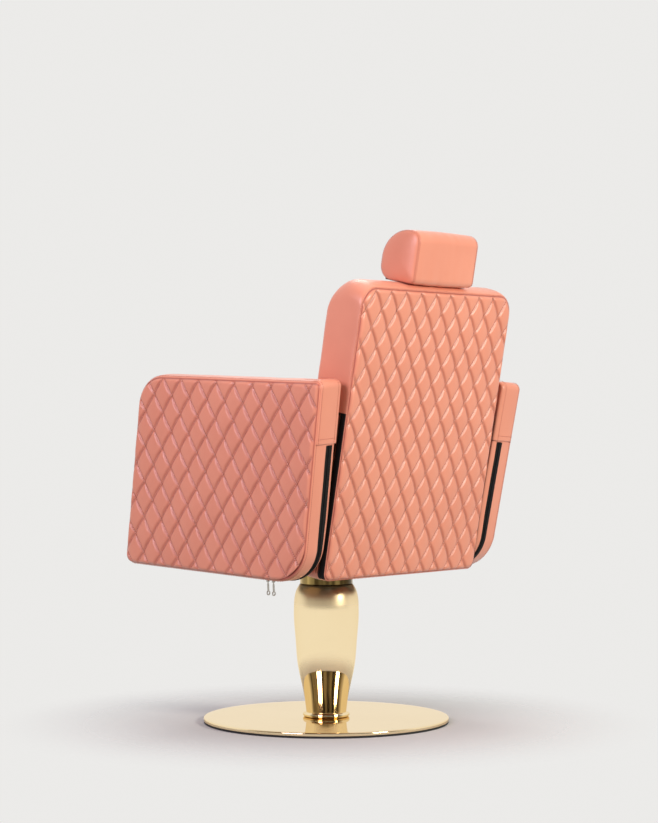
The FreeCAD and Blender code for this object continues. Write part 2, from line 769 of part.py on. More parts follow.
def build_back():
    cushion = slab(back_outline(0, back_low, back_crown_top, back_front),
                   Y_AXIS * (back_cushion_rear - back_front))
    cushion = cushion.common(back_side_profile())
    board_half = back_half_width - back_board_inset
    board = box(-board_half, board_half, back_board_front, back_cushion_rear, back_board_low,
                back_seam_top - 2 * back_board_inset)
    notch = box(-back_notch_half_width, back_notch_half_width, 2 * back_front, back_board_front,
                2 * back_low, back_notch_top)
    slots = Part.makeCompound([hinge_plate_slot(-1), hinge_plate_slot(1)])
    cushion = cushion.cut(board).cut(notch).cut(slots)
    guides = []
    sockets = []
    for x in (-post_half_spacing, post_half_spacing):
        guides.append(headrest_guide(x))
        sockets.append(headrest_socket(x))
    cushion = cushion.cut(Part.makeCompound(sockets))
    export("back_cushion", place_back(cushion))
    export("headrest_guides", place_back(Part.makeCompound(guides)))
    export("back_board", place_back(board))

    panel = slab(back_outline(0, back_low, back_seam_top, back_cushion_rear),
                 Y_AXIS * back_panel_thickness)
    middle_height = (back_quilt_z - back_low) / diamond_height
    origin = V(back_quilt_x, back_rear, back_quilt_z - int(middle_height / 2) * diamond_height)
    half_span = back_seam_top - back_low
    panel = quilted(panel, half_span, origin, X_AXIS, Z_AXIS, Y_AXIS)
    export("back_quilted_panel", place_back(panel))

    zip_rear = back_rear - back_zip_edge
    side_zip = box(back_half_width, back_half_width + back_zip_skin, zip_rear - back_zip_width,
                   zip_rear, back_low + back_low_corner_radius, back_zip_top)
    export("back_zip_left", place_back(side_zip))
    export("back_zip_right", place_back(mirror(side_zip)))


def back_side_profile():
    """The back's section from the side: soft front top corner, crown and rear seam."""
    crown_v = back_front + back_front_top_rounding
    seam_drop = back_crown_top - back_seam_top
    half_root = math.sqrt(0.5)
    front_middle = V(0, crown_v - back_front_top_rounding * half_root,
                     back_crown_top - back_front_top_rounding * (1 - half_root))
    rear_run = back_cushion_rear - crown_v
    rear_middle = V(0, crown_v + rear_run * half_root, back_crown_top - seam_drop * (1 - half_root))
    low_front = V(0, back_front, back_low + back_front_low_rounding)
    low_middle = V(0, back_front + back_front_low_rounding * (1 - half_root),
                   back_low + back_front_low_rounding * (1 - half_root))
    low_foot = V(0, back_front + back_front_low_rounding, back_low)
    seam = V(0, back_cushion_rear, back_seam_top)
    crown = V(0, crown_v, back_crown_top)
    shoulder = V(0, back_front, back_crown_top - back_front_top_rounding)
    foot = V(0, back_cushion_rear, back_low)
    lines = [
        Part.LineSegment(low_foot, foot),
        Part.LineSegment(foot, seam),
        Part.Arc(seam, rear_middle, crown),
        Part.Arc(crown, front_middle, shoulder),
        Part.LineSegment(shoulder, low_front),
        Part.Arc(low_front, low_middle, low_foot),
    ]
    wire = Part.Wire([line.toShape() for line in lines])
    profile = slab(wire, X_AXIS * (4 * back_half_width))
    profile.translate(X_AXIS * (-2 * back_half_width))
    return profile


def hinge_plate(hand):
    inner = hinge_plate_inner
    x0, x1 = sorted((hand * inner, hand * (inner + hinge_plate_thickness)))
    plate = box(x0, x1, -hinge_plate_half_width, back_board_front, 0, hinge_plate_height)
    round_end = cylinder(hinge_plate_half_width, V(x0, 0, 0), V(x1, 0, 0))
    hole = cylinder(recline_pin_radius + turning_clearance, V(x0 - cut_overrun, 0, 0),
                    V(x1 + cut_overrun, 0, 0))
    return plate.fuse(round_end).removeSplitter().cut(hole)


def hinge_plate_slot(hand):
    """The room that the back's foam leaves for one hinge plate."""
    inner = hinge_plate_inner - hinge_plate_gap
    outer = hinge_plate_inner + hinge_plate_thickness + hinge_plate_gap
    x0, x1 = sorted((hand * inner, hand * outer))
    return box(x0, x1, -hinge_plate_half_width - hinge_plate_gap, back_board_front, 0,
               hinge_plate_height + hinge_plate_gap)


def seat_link(hand):
    """A bracket from the seat's rear tube that ends in the hollow recliner pin."""
    inner = hinge_plate_inner + hinge_plate_thickness + hinge_plate_gap
    x0, x1 = sorted((hand * inner, hand * (inner + link_thickness)))
    pin_start = hand * (hinge_plate_inner - hinge_plate_gap)
    head_end = pin_start - hand * pin_head_thickness
    tube_rear_y = rear_tube_front_y + rear_tube_depth
    bar = box(x0, x1, tube_rear_y, back_hinge_y, back_hinge_z - link_half_height,
              back_hinge_z + link_half_height)
    axis = V(0, back_hinge_y, back_hinge_z)
    link = bar.fuse(cylinder(link_half_height, axis + X_AXIS * x0, axis + X_AXIS * x1))
    link = link.fuse(cylinder(recline_pin_radius, axis + X_AXIS * head_end,
                              axis + X_AXIS * hand * inner))
    link = link.fuse(cylinder(hinge_plate_half_width, axis + X_AXIS * head_end,
                              axis + X_AXIS * pin_start))
    bore = cylinder(release_shaft_radius + turning_clearance,
                    axis - X_AXIS * 2 * inner, axis + X_AXIS * 2 * inner)
    return link.removeSplitter().cut(bore)


def build_recliner():
    export("back_hinge_plates", place_back(Part.makeCompound([hinge_plate(-1), hinge_plate(1)])))
    export("seat_recliner_link_left", seat_link(1))
    export("seat_recliner_link_right", seat_link(-1))

    axis = V(0, back_hinge_y, back_hinge_z)
    shaft_end = hinge_plate_inner + 2 * hinge_plate_thickness + 2 * link_thickness
    crank_inner = release_lever_x
    crank_outer = release_lever_x + release_lever_thickness
    shaft = cylinder(release_shaft_radius, axis - X_AXIS * crank_outer, axis + X_AXIS * shaft_end)
    export("release_shaft", shaft)

    grip = V(0, release_grip_y, release_grip_z)
    along = (grip - axis).normalize()
    sideways = X_AXIS.cross(along).normalize() * release_lever_half_width
    corners = [axis + sideways, grip + sideways, grip - sideways, axis - sideways, axis + sideways]
    crank = Part.Face(Part.makePolygon(corners)).extrude(X_AXIS * release_lever_thickness)
    crank.translate(X_AXIS * -crank_outer)
    for centre in (axis, grip):
        crank = crank.fuse(cylinder(release_lever_half_width, centre - X_AXIS * crank_outer,
                                    centre - X_AXIS * crank_inner))
    rod_end = release_knob_end_x - release_knob_rounding
    rod = cylinder(release_rod_radius, grip - X_AXIS * crank_inner, grip - X_AXIS * rod_end)
    lever = crank.fuse(rod).removeSplitter().cut(shaft)
    export("release_lever", lever)

    knob_start = release_knob_end_x - release_knob_length
    knob = cylinder(release_knob_radius, grip - X_AXIS * knob_start,
                    grip - X_AXIS * release_knob_end_x)
    knob = knob.makeFillet(release_knob_rounding, knob.Edges[0:1] + knob.Edges[2:3])
    export("release_knob", knob.cut(rod))


def headrest_guide(x):
    flange_low = back_crown_top - guide_flange_thickness
    sleeve = cylinder(guide_radius, V(x, post_v, guide_low), V(x, post_v, flange_low))
    flange = cylinder(guide_flange_radius, V(x, post_v, flange_low),
                      V(x, post_v, flange_low + 2 * guide_flange_thickness))
    bore = cylinder(post_radius + turning_clearance, V(x, post_v, guide_low - cut_overrun),
                    V(x, post_v, back_crown_top + 2 * guide_flange_thickness))
    return sleeve.fuse(flange).cut(bore)


def headrest_socket(x):
    flange_low = back_crown_top - guide_flange_thickness
    sleeve = cylinder(guide_radius, V(x, post_v, guide_low), V(x, post_v, flange_low))
    flange = cylinder(guide_flange_radius, V(x, post_v, flange_low),
                      V(x, post_v, back_crown_top + guide_flange_thickness))
    return sleeve.fuse(flange)


def headrest_wire(x):
    """The headrest's end view: flat rear, rounded top and front."""
    points = [
        V(x, back_front, headrest_cushion_low),
        V(x, back_rear, headrest_cushion_low),
        V(x, back_rear, headrest_top),
        V(x, back_front, headrest_top),
    ]
    return rounded_wire(points, [headrest_front_low_rounding, headrest_low_rounding,
                                 headrest_rear_top_rounding, headrest_front_rounding])


def build_headrest():
    middle_half = headrest_half_width - headrest_end_thickness
    bolster = slab(headrest_wire(-middle_half), X_AXIS * (2 * middle_half))
    ends = []
    for hand in (-1, 1):
        end = slab(headrest_wire(hand * middle_half), X_AXIS * (hand * headrest_end_thickness))
        outer_x = hand * headrest_half_width
        end = fillet_near(end, headrest_end_rounding,
                          lambda edge: abs(edge.BoundBox.XMin - outer_x) < part_clearance
                          and edge.BoundBox.XLength < part_clearance)
        ends.append(end)
    posts = []
    for x in (-post_half_spacing, post_half_spacing):
        posts.append(cylinder(post_radius, V(x, post_v, post_low),
                              V(x, post_v, headrest_cushion_low + post_grip)))
    posts = Part.makeCompound(posts)
    board_half = headrest_half_width - headrest_board_inset
    board = box(-board_half, board_half, back_front + headrest_board_inset,
                back_rear - headrest_board_inset, headrest_low, headrest_cushion_low)
    export("headrest_board", place_back(board.cut(posts)))
    export("headrest_cushion", place_back(bolster.cut(posts)))
    export("headrest_ends", place_back(Part.makeCompound(ends)))
    export("headrest_posts", place_back(posts))


def main():
    os.makedirs("parts", exist_ok=True)
    build_base()
    build_lift()
    build_seat_mount()
    build_seat()
    build_arms()
    build_back()
    build_recliner()
    build_headrest()


main()
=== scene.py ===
import math

import bmesh
import bpy
import numpy as np
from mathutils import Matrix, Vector, noise


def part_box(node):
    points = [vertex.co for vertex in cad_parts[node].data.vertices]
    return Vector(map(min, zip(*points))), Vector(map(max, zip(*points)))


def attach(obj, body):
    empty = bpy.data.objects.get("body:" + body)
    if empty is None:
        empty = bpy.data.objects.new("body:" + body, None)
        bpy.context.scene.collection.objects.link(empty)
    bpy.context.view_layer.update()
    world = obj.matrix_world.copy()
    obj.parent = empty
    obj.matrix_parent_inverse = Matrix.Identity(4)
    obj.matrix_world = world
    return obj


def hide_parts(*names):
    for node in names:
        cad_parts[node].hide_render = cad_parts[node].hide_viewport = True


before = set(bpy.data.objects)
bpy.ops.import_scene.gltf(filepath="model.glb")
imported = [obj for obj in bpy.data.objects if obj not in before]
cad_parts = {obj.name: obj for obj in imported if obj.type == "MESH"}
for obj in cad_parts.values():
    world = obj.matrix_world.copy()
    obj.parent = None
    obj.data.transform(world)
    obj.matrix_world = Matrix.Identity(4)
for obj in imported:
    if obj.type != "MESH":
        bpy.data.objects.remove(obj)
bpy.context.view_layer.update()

# Threading chair, in metres: quilted slab arms and back, plain boxing, black zippers,
# a rolled headrest, and a polished gold column on a round base.

# Arms, drawn upright against the plane x = 0 and then leaned outwards
ARM_INNER = 0.2735
ARM_LOW = 0.350
ARM_SPLAY = math.radians(3.69)
ARM_CORNERS = [(0.2146, 0.3455), (0.286, 0.776), (-0.2295, 0.7955), (-0.3054, 0.3715)]
ARM_ROUNDINGS = [0.085, 0.014, 0.070, 0.022]
ARM_PANEL_INSETS = [0.0018, 0.0062, 0.0018, 0.0042]
ARM_PANEL_ROUNDINGS = [0.082, 0.007, 0.066, 0.019]
ARM_MIDDLE = np.array([0.0, 0.57])
ARM_CAP_LOW = 0.640
ARM_CAP_FRONT = 0.238
ARM_CAP_TUCK = 0.0042
ARM_CAP_TUCK_RUN = 0.042
ARM_ZIP_FRONT = -0.205
ARM_SEAM_X = 0.0665
ARM_INNER_SWELL = 0.006
ZIP_MIDDLE = 0.0215
ZIP_TAPE_REACH = 0.0085
ZIP_GAP = 0.0008
ZIP_FLOOR_REACH = 0.004

# Back, drawn upright about its hinge and then leaned
HINGE_Y = 0.1746
HINGE_Z = 0.372
BACK_LEAN = math.radians(10.1)
BACK_HALF = 0.272
BACK_LOW = -0.020
BACK_SEAM_TOP = 0.616
BACK_FRONT = -0.048
BACK_REAR = 0.048
BACK_CORNER = 0.045
BACK_LOW_CORNER = 0.020
BACK_PANEL_INSET = 0.0026
BACK_MIDDLE = np.array([0.0, 0.30])
BACK_FACE_DEPTH = -0.0524
BACK_ZIP_TOP = 0.344
BACK_ZIP_REAR = 0.0435
BACK_ZIP_WIDTH = 0.028

# Headrest, in the back's own upright frame
HEAD_HALF = 0.112
HEAD_LOW = 0.6288
HEAD_TOP = 0.742
HEAD_FRONT_ROLL = 0.066
HEAD_REAR_ROLL = 0.024
HEAD_FRONT_LOW_ROLL = 0.032
HEAD_LOW_ROLL = 0.012

# Seat
SEAT_LOW = 0.402
SEAT_TOP = 0.540
SEAT_FRONT = -0.288
SEAT_GAP = 0.007
SEAT_BACK_GAP = 0.004
SEAT_SHRINK = 0.005
SEAT_CORNER = 0.028
SEAT_LEVELS = 9
SEAT_RING_POINTS = 150
FINE_VOXEL = 0.006
CLOTH_PRESSURE = 3.0
CLOTH_REACH = 0.010
CLOTH_FRAMES = 20

# Quilting: the place of one crossing, the turn, and a diamond's width and height
ARM_QUILT = ((-0.0866, 0.7441), math.radians(-4.8), 0.0520, 0.0793)
BACK_QUILT = ((0.2035, 0.5692), math.radians(0.24), 0.0535, 0.0799)
PILLOW_RISE = 0.0046
PILLOW_SLOPE = 1.05
PILLOW_DOME = 0.0012
PILLOW_BEND = 0.0013
HALF_DIAMOND = 0.022
PANEL_CROWN = 0.0030
SWELL_REACH = 0.0065
PUCKER_SCALE = 26.0
PUCKER_DEPTH = 0.0007

# Column and base
DISC_RADIUS = 0.280
DISC_LOW = 0.005
DISC_TOP = 0.012
DISC_RIM = 0.0026
DISC_HOLE = 0.0436
RING_RADIUS = 0.0535
RING_ROLL = 0.006
RING_TOP = 0.024
VASE_HEIGHT = 0.290
VASE_RADIUS = 0.0745
VASE_WALL = 0.0016
VASE_HEIGHT_SHARES = [0.0, 0.11, 0.20, 0.37, 0.56, 0.745, 0.87, 0.955, 1.0]
VASE_RADIUS_SHARES = [0.615, 0.67, 0.74, 0.88, 0.945, 1.0, 0.985, 0.915, 0.815]
VASE_DULL_DROP = 0.062
VASE_DULL_RUN = 0.025
COLLAR_RADIUS = 0.0605
COLLAR_WALL = 0.002
COLLAR_LOW = 0.3155
COLLAR_CHAMFER = 0.0006
PLATE_LOW = 0.352
PEDAL_HEADING = math.radians(220.0)

# Sewing
STITCH_LENGTH = 0.0031
STITCH_PITCH = 0.0048
THREAD_RADIUS = 0.0008
AHEAD = 0.01

# Photograph's camera
IMAGE_WIDTH = 658
IMAGE_HEIGHT = 823
FOCAL_PIXELS = 2275
CAMERA_DISTANCE = 5.2
CAMERA_HEIGHT = 0.708
CAMERA_HEADING = math.radians(129.4)
CAMERA_AWAY = Vector((math.sin(CAMERA_HEADING), -math.cos(CAMERA_HEADING), 0))
COLUMN_PIXEL = 326.3
HORIZON_PIXEL = 411.5
SENSOR = 36.0


# Materials

def feed(tree, socket, value):
    """Sets a socket's constant, or links another node's output to it."""
    if isinstance(value, bpy.types.NodeSocket):
        tree.links.new(value, socket)
    else:
        socket.default_value = value


def shader_base(name, **constants):
    material = bpy.data.materials.new(name)
    material.use_nodes = True
    tree = material.node_tree
    shader = tree.nodes["Principled BSDF"]
    for key, value in constants.items():
        shader.inputs[key.replace("_", " ")].default_value = value
    return material, tree, shader


def add_node(tree, kind, **settings):
    node = tree.nodes.new("ShaderNode" + kind)
    for key, value in settings.items():
        if key in node.inputs:
            feed(tree, node.inputs[key], value)
        else:
            setattr(node, key, value)
    return node


def computed(tree, operation, *values):
    node = add_node(tree, "Math", operation=operation)
    for socket, value in zip(node.inputs, values):
        feed(tree, socket, value)
    return node.outputs["Value"]


def object_place(tree):
    return add_node(tree, "TexCoord").outputs["Object"]


def object_noise(tree, scale, detail=3.0, roughness=0.5):
    return add_node(tree, "TexNoise", Vector=object_place(tree), Scale=scale, Detail=detail,
                    Roughness=roughness).outputs["Fac"]


def colour_ramp(tree, factor, stops):
    ramp = add_node(tree, "ValToRGB", Fac=factor)
    elements = ramp.color_ramp.elements
    while len(elements) < len(stops):
        elements.new(0.5)
    for element, (place, colour) in zip(elements, stops):
        element.position = place
        element.color = (*colour, 1.0)
    return ramp.outputs["Color"]


def mapped(tree, factor, low, high, start=0.0, end=1.0, soft=False):
    """The factor's span from start to end, mapped from low to high and held beyond."""
    node = add_node(tree, "MapRange", Value=factor)
    node.interpolation_type = "SMOOTHSTEP" if soft else "LINEAR"
    for label, value in (("From Min", start), ("From Max", end), ("To Min", low), ("To Max", high)):
        node.inputs[label].default_value = value
    return node.outputs["Result"]


def tint(tree, shader, factor, stops):
    feed(tree, shader.inputs["Base Color"], colour_ramp(tree, factor, stops))


def roughen(tree, shader, scale, detail, low, high):
    feed(tree, shader.inputs["Roughness"], mapped(tree, object_noise(tree, scale, detail), low, high))


def add_bump(tree, shader, height, distance, strength=1.0, below=None):
    bump = add_node(tree, "Bump", Distance=distance, Strength=strength, Height=height)
    if below is not None:
        tree.links.new(below, bump.inputs["Normal"])
    tree.links.new(bump.outputs["Normal"], shader.inputs["Normal"])
    return bump.outputs["Normal"]


def blend_colours(tree, factor, first, second):
    mix = add_node(tree, "Mix", data_type="RGBA")
    tree.links.new(factor, mix.inputs[0])
    for socket, colour in ((mix.inputs[6], first), (mix.inputs[7], second)):
        feed(tree, socket, (*colour, 1.0) if isinstance(colour, tuple) else colour)
    return mix.outputs[2]


def upholstery_leather():
    """Salmon upholstery leather: pebble grain, soft creases, and painted shade darkening the sewn grooves,
    the folds beside them and the boxing seams.
    """
    material, tree, shader = shader_base("salmon_leather", Specular_IOR_Level=0.5,
                                         Sheen_Weight=0.05, Sheen_Roughness=0.5)
    drift = colour_ramp(tree, object_noise(tree, 7.0, 4.0), [
        (0.30, (0.705, 0.258, 0.162)), (0.72, (0.765, 0.294, 0.186))])
    # The dark red blended in by this mask is painted shade in the grooves and seams, not a colour of the
    # leather.
    groove = painted_groove_shade(tree)
    feed(tree, shader.inputs["Base Color"], blend_colours(tree, groove, drift, (0.36, 0.070, 0.045)))
    roughen(tree, shader, 160.0, 3.0, 0.29, 0.41)
    pebbles = add_node(tree, "TexVoronoi", Vector=object_place(tree), Scale=620.0,
                       feature="DISTANCE_TO_EDGE")
    creases = add_bump(tree, shader, object_noise(tree, 38.0, 5.0, 0.55), 0.0008, 0.3)
    grain = add_bump(tree, shader, pebbles.outputs["Distance"], 0.0003, 0.45, creases)
    add_bump(tree, shader, computed(tree, "SUBTRACT", 1.0, groove), 0.0006, 0.4, grain)
    return material


def painted_groove_shade(tree):
    """Painted shade mask: one on the sewn lines and in the folds beside them, nought away from them, from
    the meshes' own sewing maps and seam shade.
    """
    seam = add_node(tree, "Attribute", attribute_name="seam")
    quilt = add_node(tree, "Attribute", attribute_name="quilt")
    parts = add_node(tree, "SeparateXYZ", Vector=quilt.outputs["Vector"])
    off_lines = [computed(tree, "PINGPONG", parts.outputs[axis], 0.5) for axis in "XY"]
    nearest = computed(tree, "MINIMUM", *off_lines)
    # A narrow dark band on each sewn line and a broader soft darkening beside it: both painted shade.
    line = mapped(tree, nearest, 1.0, 0.0, 0.004, 0.034)
    painted_fold_shade = mapped(tree, nearest, 0.5, 0.0, 0.0, 0.13, soft=True)
    within = computed(tree, "MULTIPLY", computed(tree, "MAXIMUM", line, painted_fold_shade), parts.outputs["Z"])
    return computed(tree, "MAXIMUM", within, seam.outputs["Fac"])


def polished_gold(name="polished_gold", dull_from=None):
    """Gold plate over a polished shell, with faint waviness and handling haze. Above dull_from
    the polish fades, as the buffing wheel doesn't reach under the seat."""
    material, tree, shader = shader_base(name, Metallic=1.0, Roughness=0.06,
                                         Specular_Tint=(0.93, 0.86, 0.73, 1.0))
    tint(tree, shader, object_noise(tree, 5.0, 4.0), [
        (0.25, (0.86, 0.69, 0.42)), (0.8, (0.90, 0.74, 0.47))])
    roughness = mapped(tree, object_noise(tree, 60.0, 5.0), 0.035, 0.085)
    if dull_from is not None:
        height = add_node(tree, "SeparateXYZ", Vector=object_place(tree)).outputs["Z"]
        fade = mapped(tree, height, 0.0, 0.28, dull_from, dull_from + VASE_DULL_RUN, soft=True)
        roughness = computed(tree, "ADD", roughness, fade)
    feed(tree, shader.inputs["Roughness"], roughness)
    add_bump(tree, shader, object_noise(tree, 14.0, 1.0), 0.0004, 0.12)
    return material


def shaded_gold():
    """The collar's gold, with painted reflections in long upright streaks: near-black painted shade between
    bright gold painted highlights.
    """
    material, tree, shader = shader_base("shaded_gold", Metallic=1.0, Roughness=0.12)
    stretch = add_node(tree, "Mapping", Vector=object_place(tree), Scale=(1.0, 1.0, 0.02))
    painted_reflection_streaks = add_node(tree, "TexNoise", Vector=stretch.outputs["Vector"], Scale=34.0, Detail=2.0)
    # The colour ramp paints the collar's reflections: dark painted shade and bright painted highlight
    # streaks.
    tint(tree, shader, painted_reflection_streaks.outputs["Fac"], [
        (0.42, (0.06, 0.038, 0.012)), (0.62, (0.60, 0.42, 0.15))])
    add_bump(tree, shader, painted_reflection_streaks.outputs["Fac"], 0.0003, 0.2)
    return material


def bright_metal(name, colour, roughness_low, roughness_high):
    material, tree, shader = shader_base(name, Metallic=1.0)
    tint(tree, shader, object_noise(tree, 30.0, 4.0), [
        (0.2, tuple(0.88 * part for part in colour)), (0.8, colour)])
    roughen(tree, shader, 220.0, 4.0, roughness_low, roughness_high)
    add_bump(tree, shader, object_noise(tree, 700.0, 2.0), 0.00006, 0.3)
    return material


def dark_coating(name, colour, low, high, grain_scale, grain_depth, gloss=0.4):
    """Paint, rubber or moulded plastic: near-black with its own grain and dusty high spots."""
    material, tree, shader = shader_base(name, Specular_IOR_Level=gloss)
    dust = tuple(min(1.0, part * 2.2 + 0.004) for part in colour)
    tint(tree, shader, object_noise(tree, 18.0, 5.0), [(0.45, colour), (0.9, dust)])
    roughen(tree, shader, 90.0, 4.0, low, high)
    add_bump(tree, shader, object_noise(tree, grain_scale, 3.0), grain_depth, 0.6)
    return material


def woven_tape():
    """Black zipper tape: a fine herringbone of two crossing waves."""
    material, tree, shader = shader_base("woven_tape", Roughness=0.82, Specular_IOR_Level=0.2)
    waves = [add_node(tree, "TexWave", Vector=object_place(tree), Scale=330.0, wave_type="BANDS",
                      bands_direction=direction).outputs["Fac"] for direction in ("X", "DIAGONAL")]
    cross = computed(tree, "MULTIPLY", *waves)
    tint(tree, shader, cross, [(0.0, (0.002, 0.002, 0.002)), (1.0, (0.009, 0.009, 0.009))])
    add_bump(tree, shader, cross, 0.00025, 0.8)
    return material


def sewing_thread(name, colour):
    material, tree, shader = shader_base(name, Roughness=0.6, Sheen_Weight=0.1, Specular_IOR_Level=0.25)
    tint(tree, shader, object_noise(tree, 900.0, 2.0), [
        (0.3, tuple(0.72 * part for part in colour)), (0.7, colour)])
    add_bump(tree, shader, object_noise(tree, 2500.0, 1.0), 0.0001, 0.6)
    return material


def birch_plywood():
    """Raw plywood: pale long grain with darker plies."""
    material, tree, shader = shader_base("birch_plywood", Roughness=0.62)
    plies = add_node(tree, "TexWave", Vector=object_place(tree), Scale=42.0, Distortion=5.0,
                     Detail=3.0).outputs["Fac"]
    tint(tree, shader, plies, [(0.0, (0.50, 0.33, 0.18)), (1.0, (0.66, 0.48, 0.30))])
    add_bump(tree, shader, plies, 0.0003, 0.3)
    return material


MATERIALS = {
    "leather": upholstery_leather(),
    "gold": polished_gold(),
    "cover_gold": polished_gold("cover_gold", RING_TOP + VASE_HEIGHT - VASE_DULL_DROP),
    "shaded_gold": shaded_gold(),
    "steel": bright_metal("nickel_plate", (0.74, 0.73, 0.71), 0.14, 0.30),
    "zinc": bright_metal("cast_zinc", (0.40, 0.37, 0.33), 0.18, 0.36),
    "painted": dark_coating("black_paint", (0.012, 0.012, 0.013), 0.30, 0.48, 300.0, 0.0001),
    "rubber": dark_coating("moulded_rubber", (0.010, 0.010, 0.011), 0.68, 0.85, 240.0, 0.0003),
    "plastic": dark_coating("grained_plastic", (0.014, 0.014, 0.015), 0.40, 0.58, 500.0, 0.0002),
    "coil": dark_coating("nylon_coil", (0.006, 0.005, 0.005), 0.34, 0.48, 800.0, 0.0001, gloss=0.12),
    "tape": woven_tape(),
    "thread": sewing_thread("salmon_thread", (0.93, 0.54, 0.42)),
    # A darker copy of the salmon thread: painted shade for stitches sunk in the seams.
    "shaded_thread": sewing_thread("shaded_salmon_thread", (0.55, 0.17, 0.12)),
    "wood": birch_plywood(),
}


# Places: from each sub-assembly's own upright frame to the chair's frame

def eased(share):
    share = np.clip(share, 0, 1)
    return share * share * (3 - 2 * share)


def arm_place(hand):
    """hand is 1 for the sitter's left arm and -1 for the right arm; the inner side swells upwards."""
    cosine, sine = math.cos(ARM_SPLAY), math.sin(ARM_SPLAY)

    def place(points):
        points = np.asarray(points, float)
        rise = points[:, 2] - ARM_LOW
        inwards = np.clip(1 - points[:, 0] / 0.030, 0, 1)
        depth = points[:, 0] - ARM_INNER_SWELL * eased((rise - 0.03) / 0.12) * inwards
        x = ARM_INNER + depth * cosine + rise * sine
        z = ARM_LOW - depth * sine + rise * cosine
        return np.stack([hand * x, points[:, 1], z], axis=1)
    return place


def back_place(points):
    points = np.asarray(points, float)
    cosine, sine = math.cos(BACK_LEAN), math.sin(BACK_LEAN)
    y = HINGE_Y + points[:, 1] * cosine + points[:, 2] * sine
    z = HINGE_Z - points[:, 1] * sine + points[:, 2] * cosine
    return np.stack([points[:, 0], y, z], axis=1)


def back_depth_place(points):
    """Points given as (depth, across, up) on the back's upright rear face."""
    points = np.asarray(points, float)
    return back_place(np.column_stack([points[:, 1], points[:, 0], points[:, 2]]))


# Outlines: closed 2D paths with rounded corners, sampled evenly

def unit(vector):
    return vector / np.linalg.norm(vector)


def looped(points):
    return np.vstack([points, points[:1]])


def corner_frame(corners, index, radius):
    """A corner's unit directions to its neighbours and inwards, its arc's hub and its arc's reach."""
    corner = corners[index]
    before = unit(corners[index - 1] - corner)
    after = unit(corners[(index + 1) % len(corners)] - corner)
    half_angle = math.acos(float(np.clip(before @ after, -1, 1))) / 2
    inward = unit(before + after)
    hub = corner + inward * (radius / math.sin(half_angle))
    return before, after, inward, hub, radius / math.tan(half_angle)


def corner_spokes(corners, index, radius, count):
    """A corner's hub, and unit spokes from it to even places on its arc."""
    before, after, _, hub, reach = corner_frame(corners, index, radius)
    first = corners[index] + before * reach - hub
    last = corners[index] + after * reach - hub
    return hub, np.array([unit(first * (1 - share) + last * share) for share in np.linspace(0, 1, count)])


def rounded_path(corners, roundings, spacing):
    """Evenly spaced points and outward normals round a convex outline."""
    corners = [np.array(corner, float) for corner in corners]
    arcs = []
    for index, radius in enumerate(roundings):
        hub, spokes = corner_spokes(corners, index, radius, 25)
        arcs.append(hub + spokes * radius)
    closed = looped(np.vstack(arcs))
    travelled = np.concatenate([[0], np.cumsum(np.linalg.norm(np.diff(closed, axis=0), axis=1))])
    at = np.linspace(0, travelled[-1], max(24, int(travelled[-1] / spacing)), endpoint=False)
    even = np.stack([np.interp(at, travelled, closed[:, axis]) for axis in (0, 1)], axis=1)
    tangent = np.roll(even, -1, axis=0) - np.roll(even, 1, axis=0)
    normal = np.stack([tangent[:, 1], -tangent[:, 0]], axis=1)
    normal /= np.linalg.norm(normal, axis=1)[:, None]
    outward = np.sum(normal * (even - sum(corners) / len(corners)), axis=1)
    return even, normal * np.sign(outward)[:, None]


def matched_ring(corners, roundings):
    """An outline sampled alike whatever its size, so that rings join point to point."""
    corners = [np.array(corner, float) for corner in corners]
    turns = [corner_spokes(corners, index, radius, 16) for index, radius in enumerate(roundings)]
    arcs = [hub + spokes * radius for (hub, spokes), radius in zip(turns, roundings)]
    shares = np.linspace(0, 1, 110)[1:-1, None]
    points = []
    normals = []
    for index, (arc, (_, spokes)) in enumerate(zip(arcs, turns)):
        following = arcs[(index + 1) % len(arcs)][0]
        points += [arc, arc[-1] + (following - arc[-1]) * shares]
        normals += [spokes, np.repeat(spokes[-1:], len(shares), axis=0)]
    return np.vstack(points), np.vstack(normals)


def open_run(points, normals, keep):
    """The longest unbroken run of a closed path whose points pass a test."""
    count = len(points)
    passed = [bool(keep(point)) for point in points]
    index = next(i for i in range(count) if passed[i] and not passed[i - 1])
    order = []
    while passed[index % count] and len(order) < count:
        order.append(index % count)
        index += 1
    return points[order], normals[order]


def side_lines(corners):
    """Each straight side of a convex outline, as a point on it and its inward normal."""
    centre = sum(corners) / len(corners)
    lines = []
    for index, corner in enumerate(corners):
        side = corners[(index + 1) % len(corners)] - corner
        normal = np.array([side[1], -side[0]]) / np.linalg.norm(side)
        lines.append((corner, -normal if normal @ (centre - corner) < 0 else normal))
    return lines


def inset_outline(corners, distances):
    """The outline with each straight side moved inwards by its own distance."""
    sides = side_lines([np.array(corner, float) for corner in corners])
    lines = [(normal, normal @ corner + distance) for (corner, normal), distance in zip(sides, distances)]
    return [np.linalg.solve(np.array([first[0], second[0]]), [first[1], second[1]])
            for first, second in zip(lines[-1:] + lines[:-1], lines)]


def rounded_depth(points, corners, roundings):
    """Distance inside a rounded outline, negative outside."""
    depth = np.min([(points - corner) @ normal for corner, normal in side_lines(corners)], axis=0)
    for index, (corner, radius) in enumerate(zip(corners, roundings)):
        before, after, inward, hub, reach = corner_frame(corners, index, radius)
        near = ((points - corner) @ before < reach) & ((points - corner) @ after < reach)
        near &= (points - hub) @ inward < 0
        spread = np.linalg.norm(points - hub, axis=1)
        depth[near] = np.minimum(depth[near], radius - spread[near])
    return depth


# Mesh building

BOX_FACES = [(0, 1, 3, 2), (4, 6, 7, 5), (0, 4, 5, 1), (2, 3, 7, 6), (0, 2, 6, 4), (1, 5, 7, 3)]


def add_object(name, data):
    obj = bpy.data.objects.new(name, data)
    bpy.context.scene.collection.objects.link(obj)
    return obj


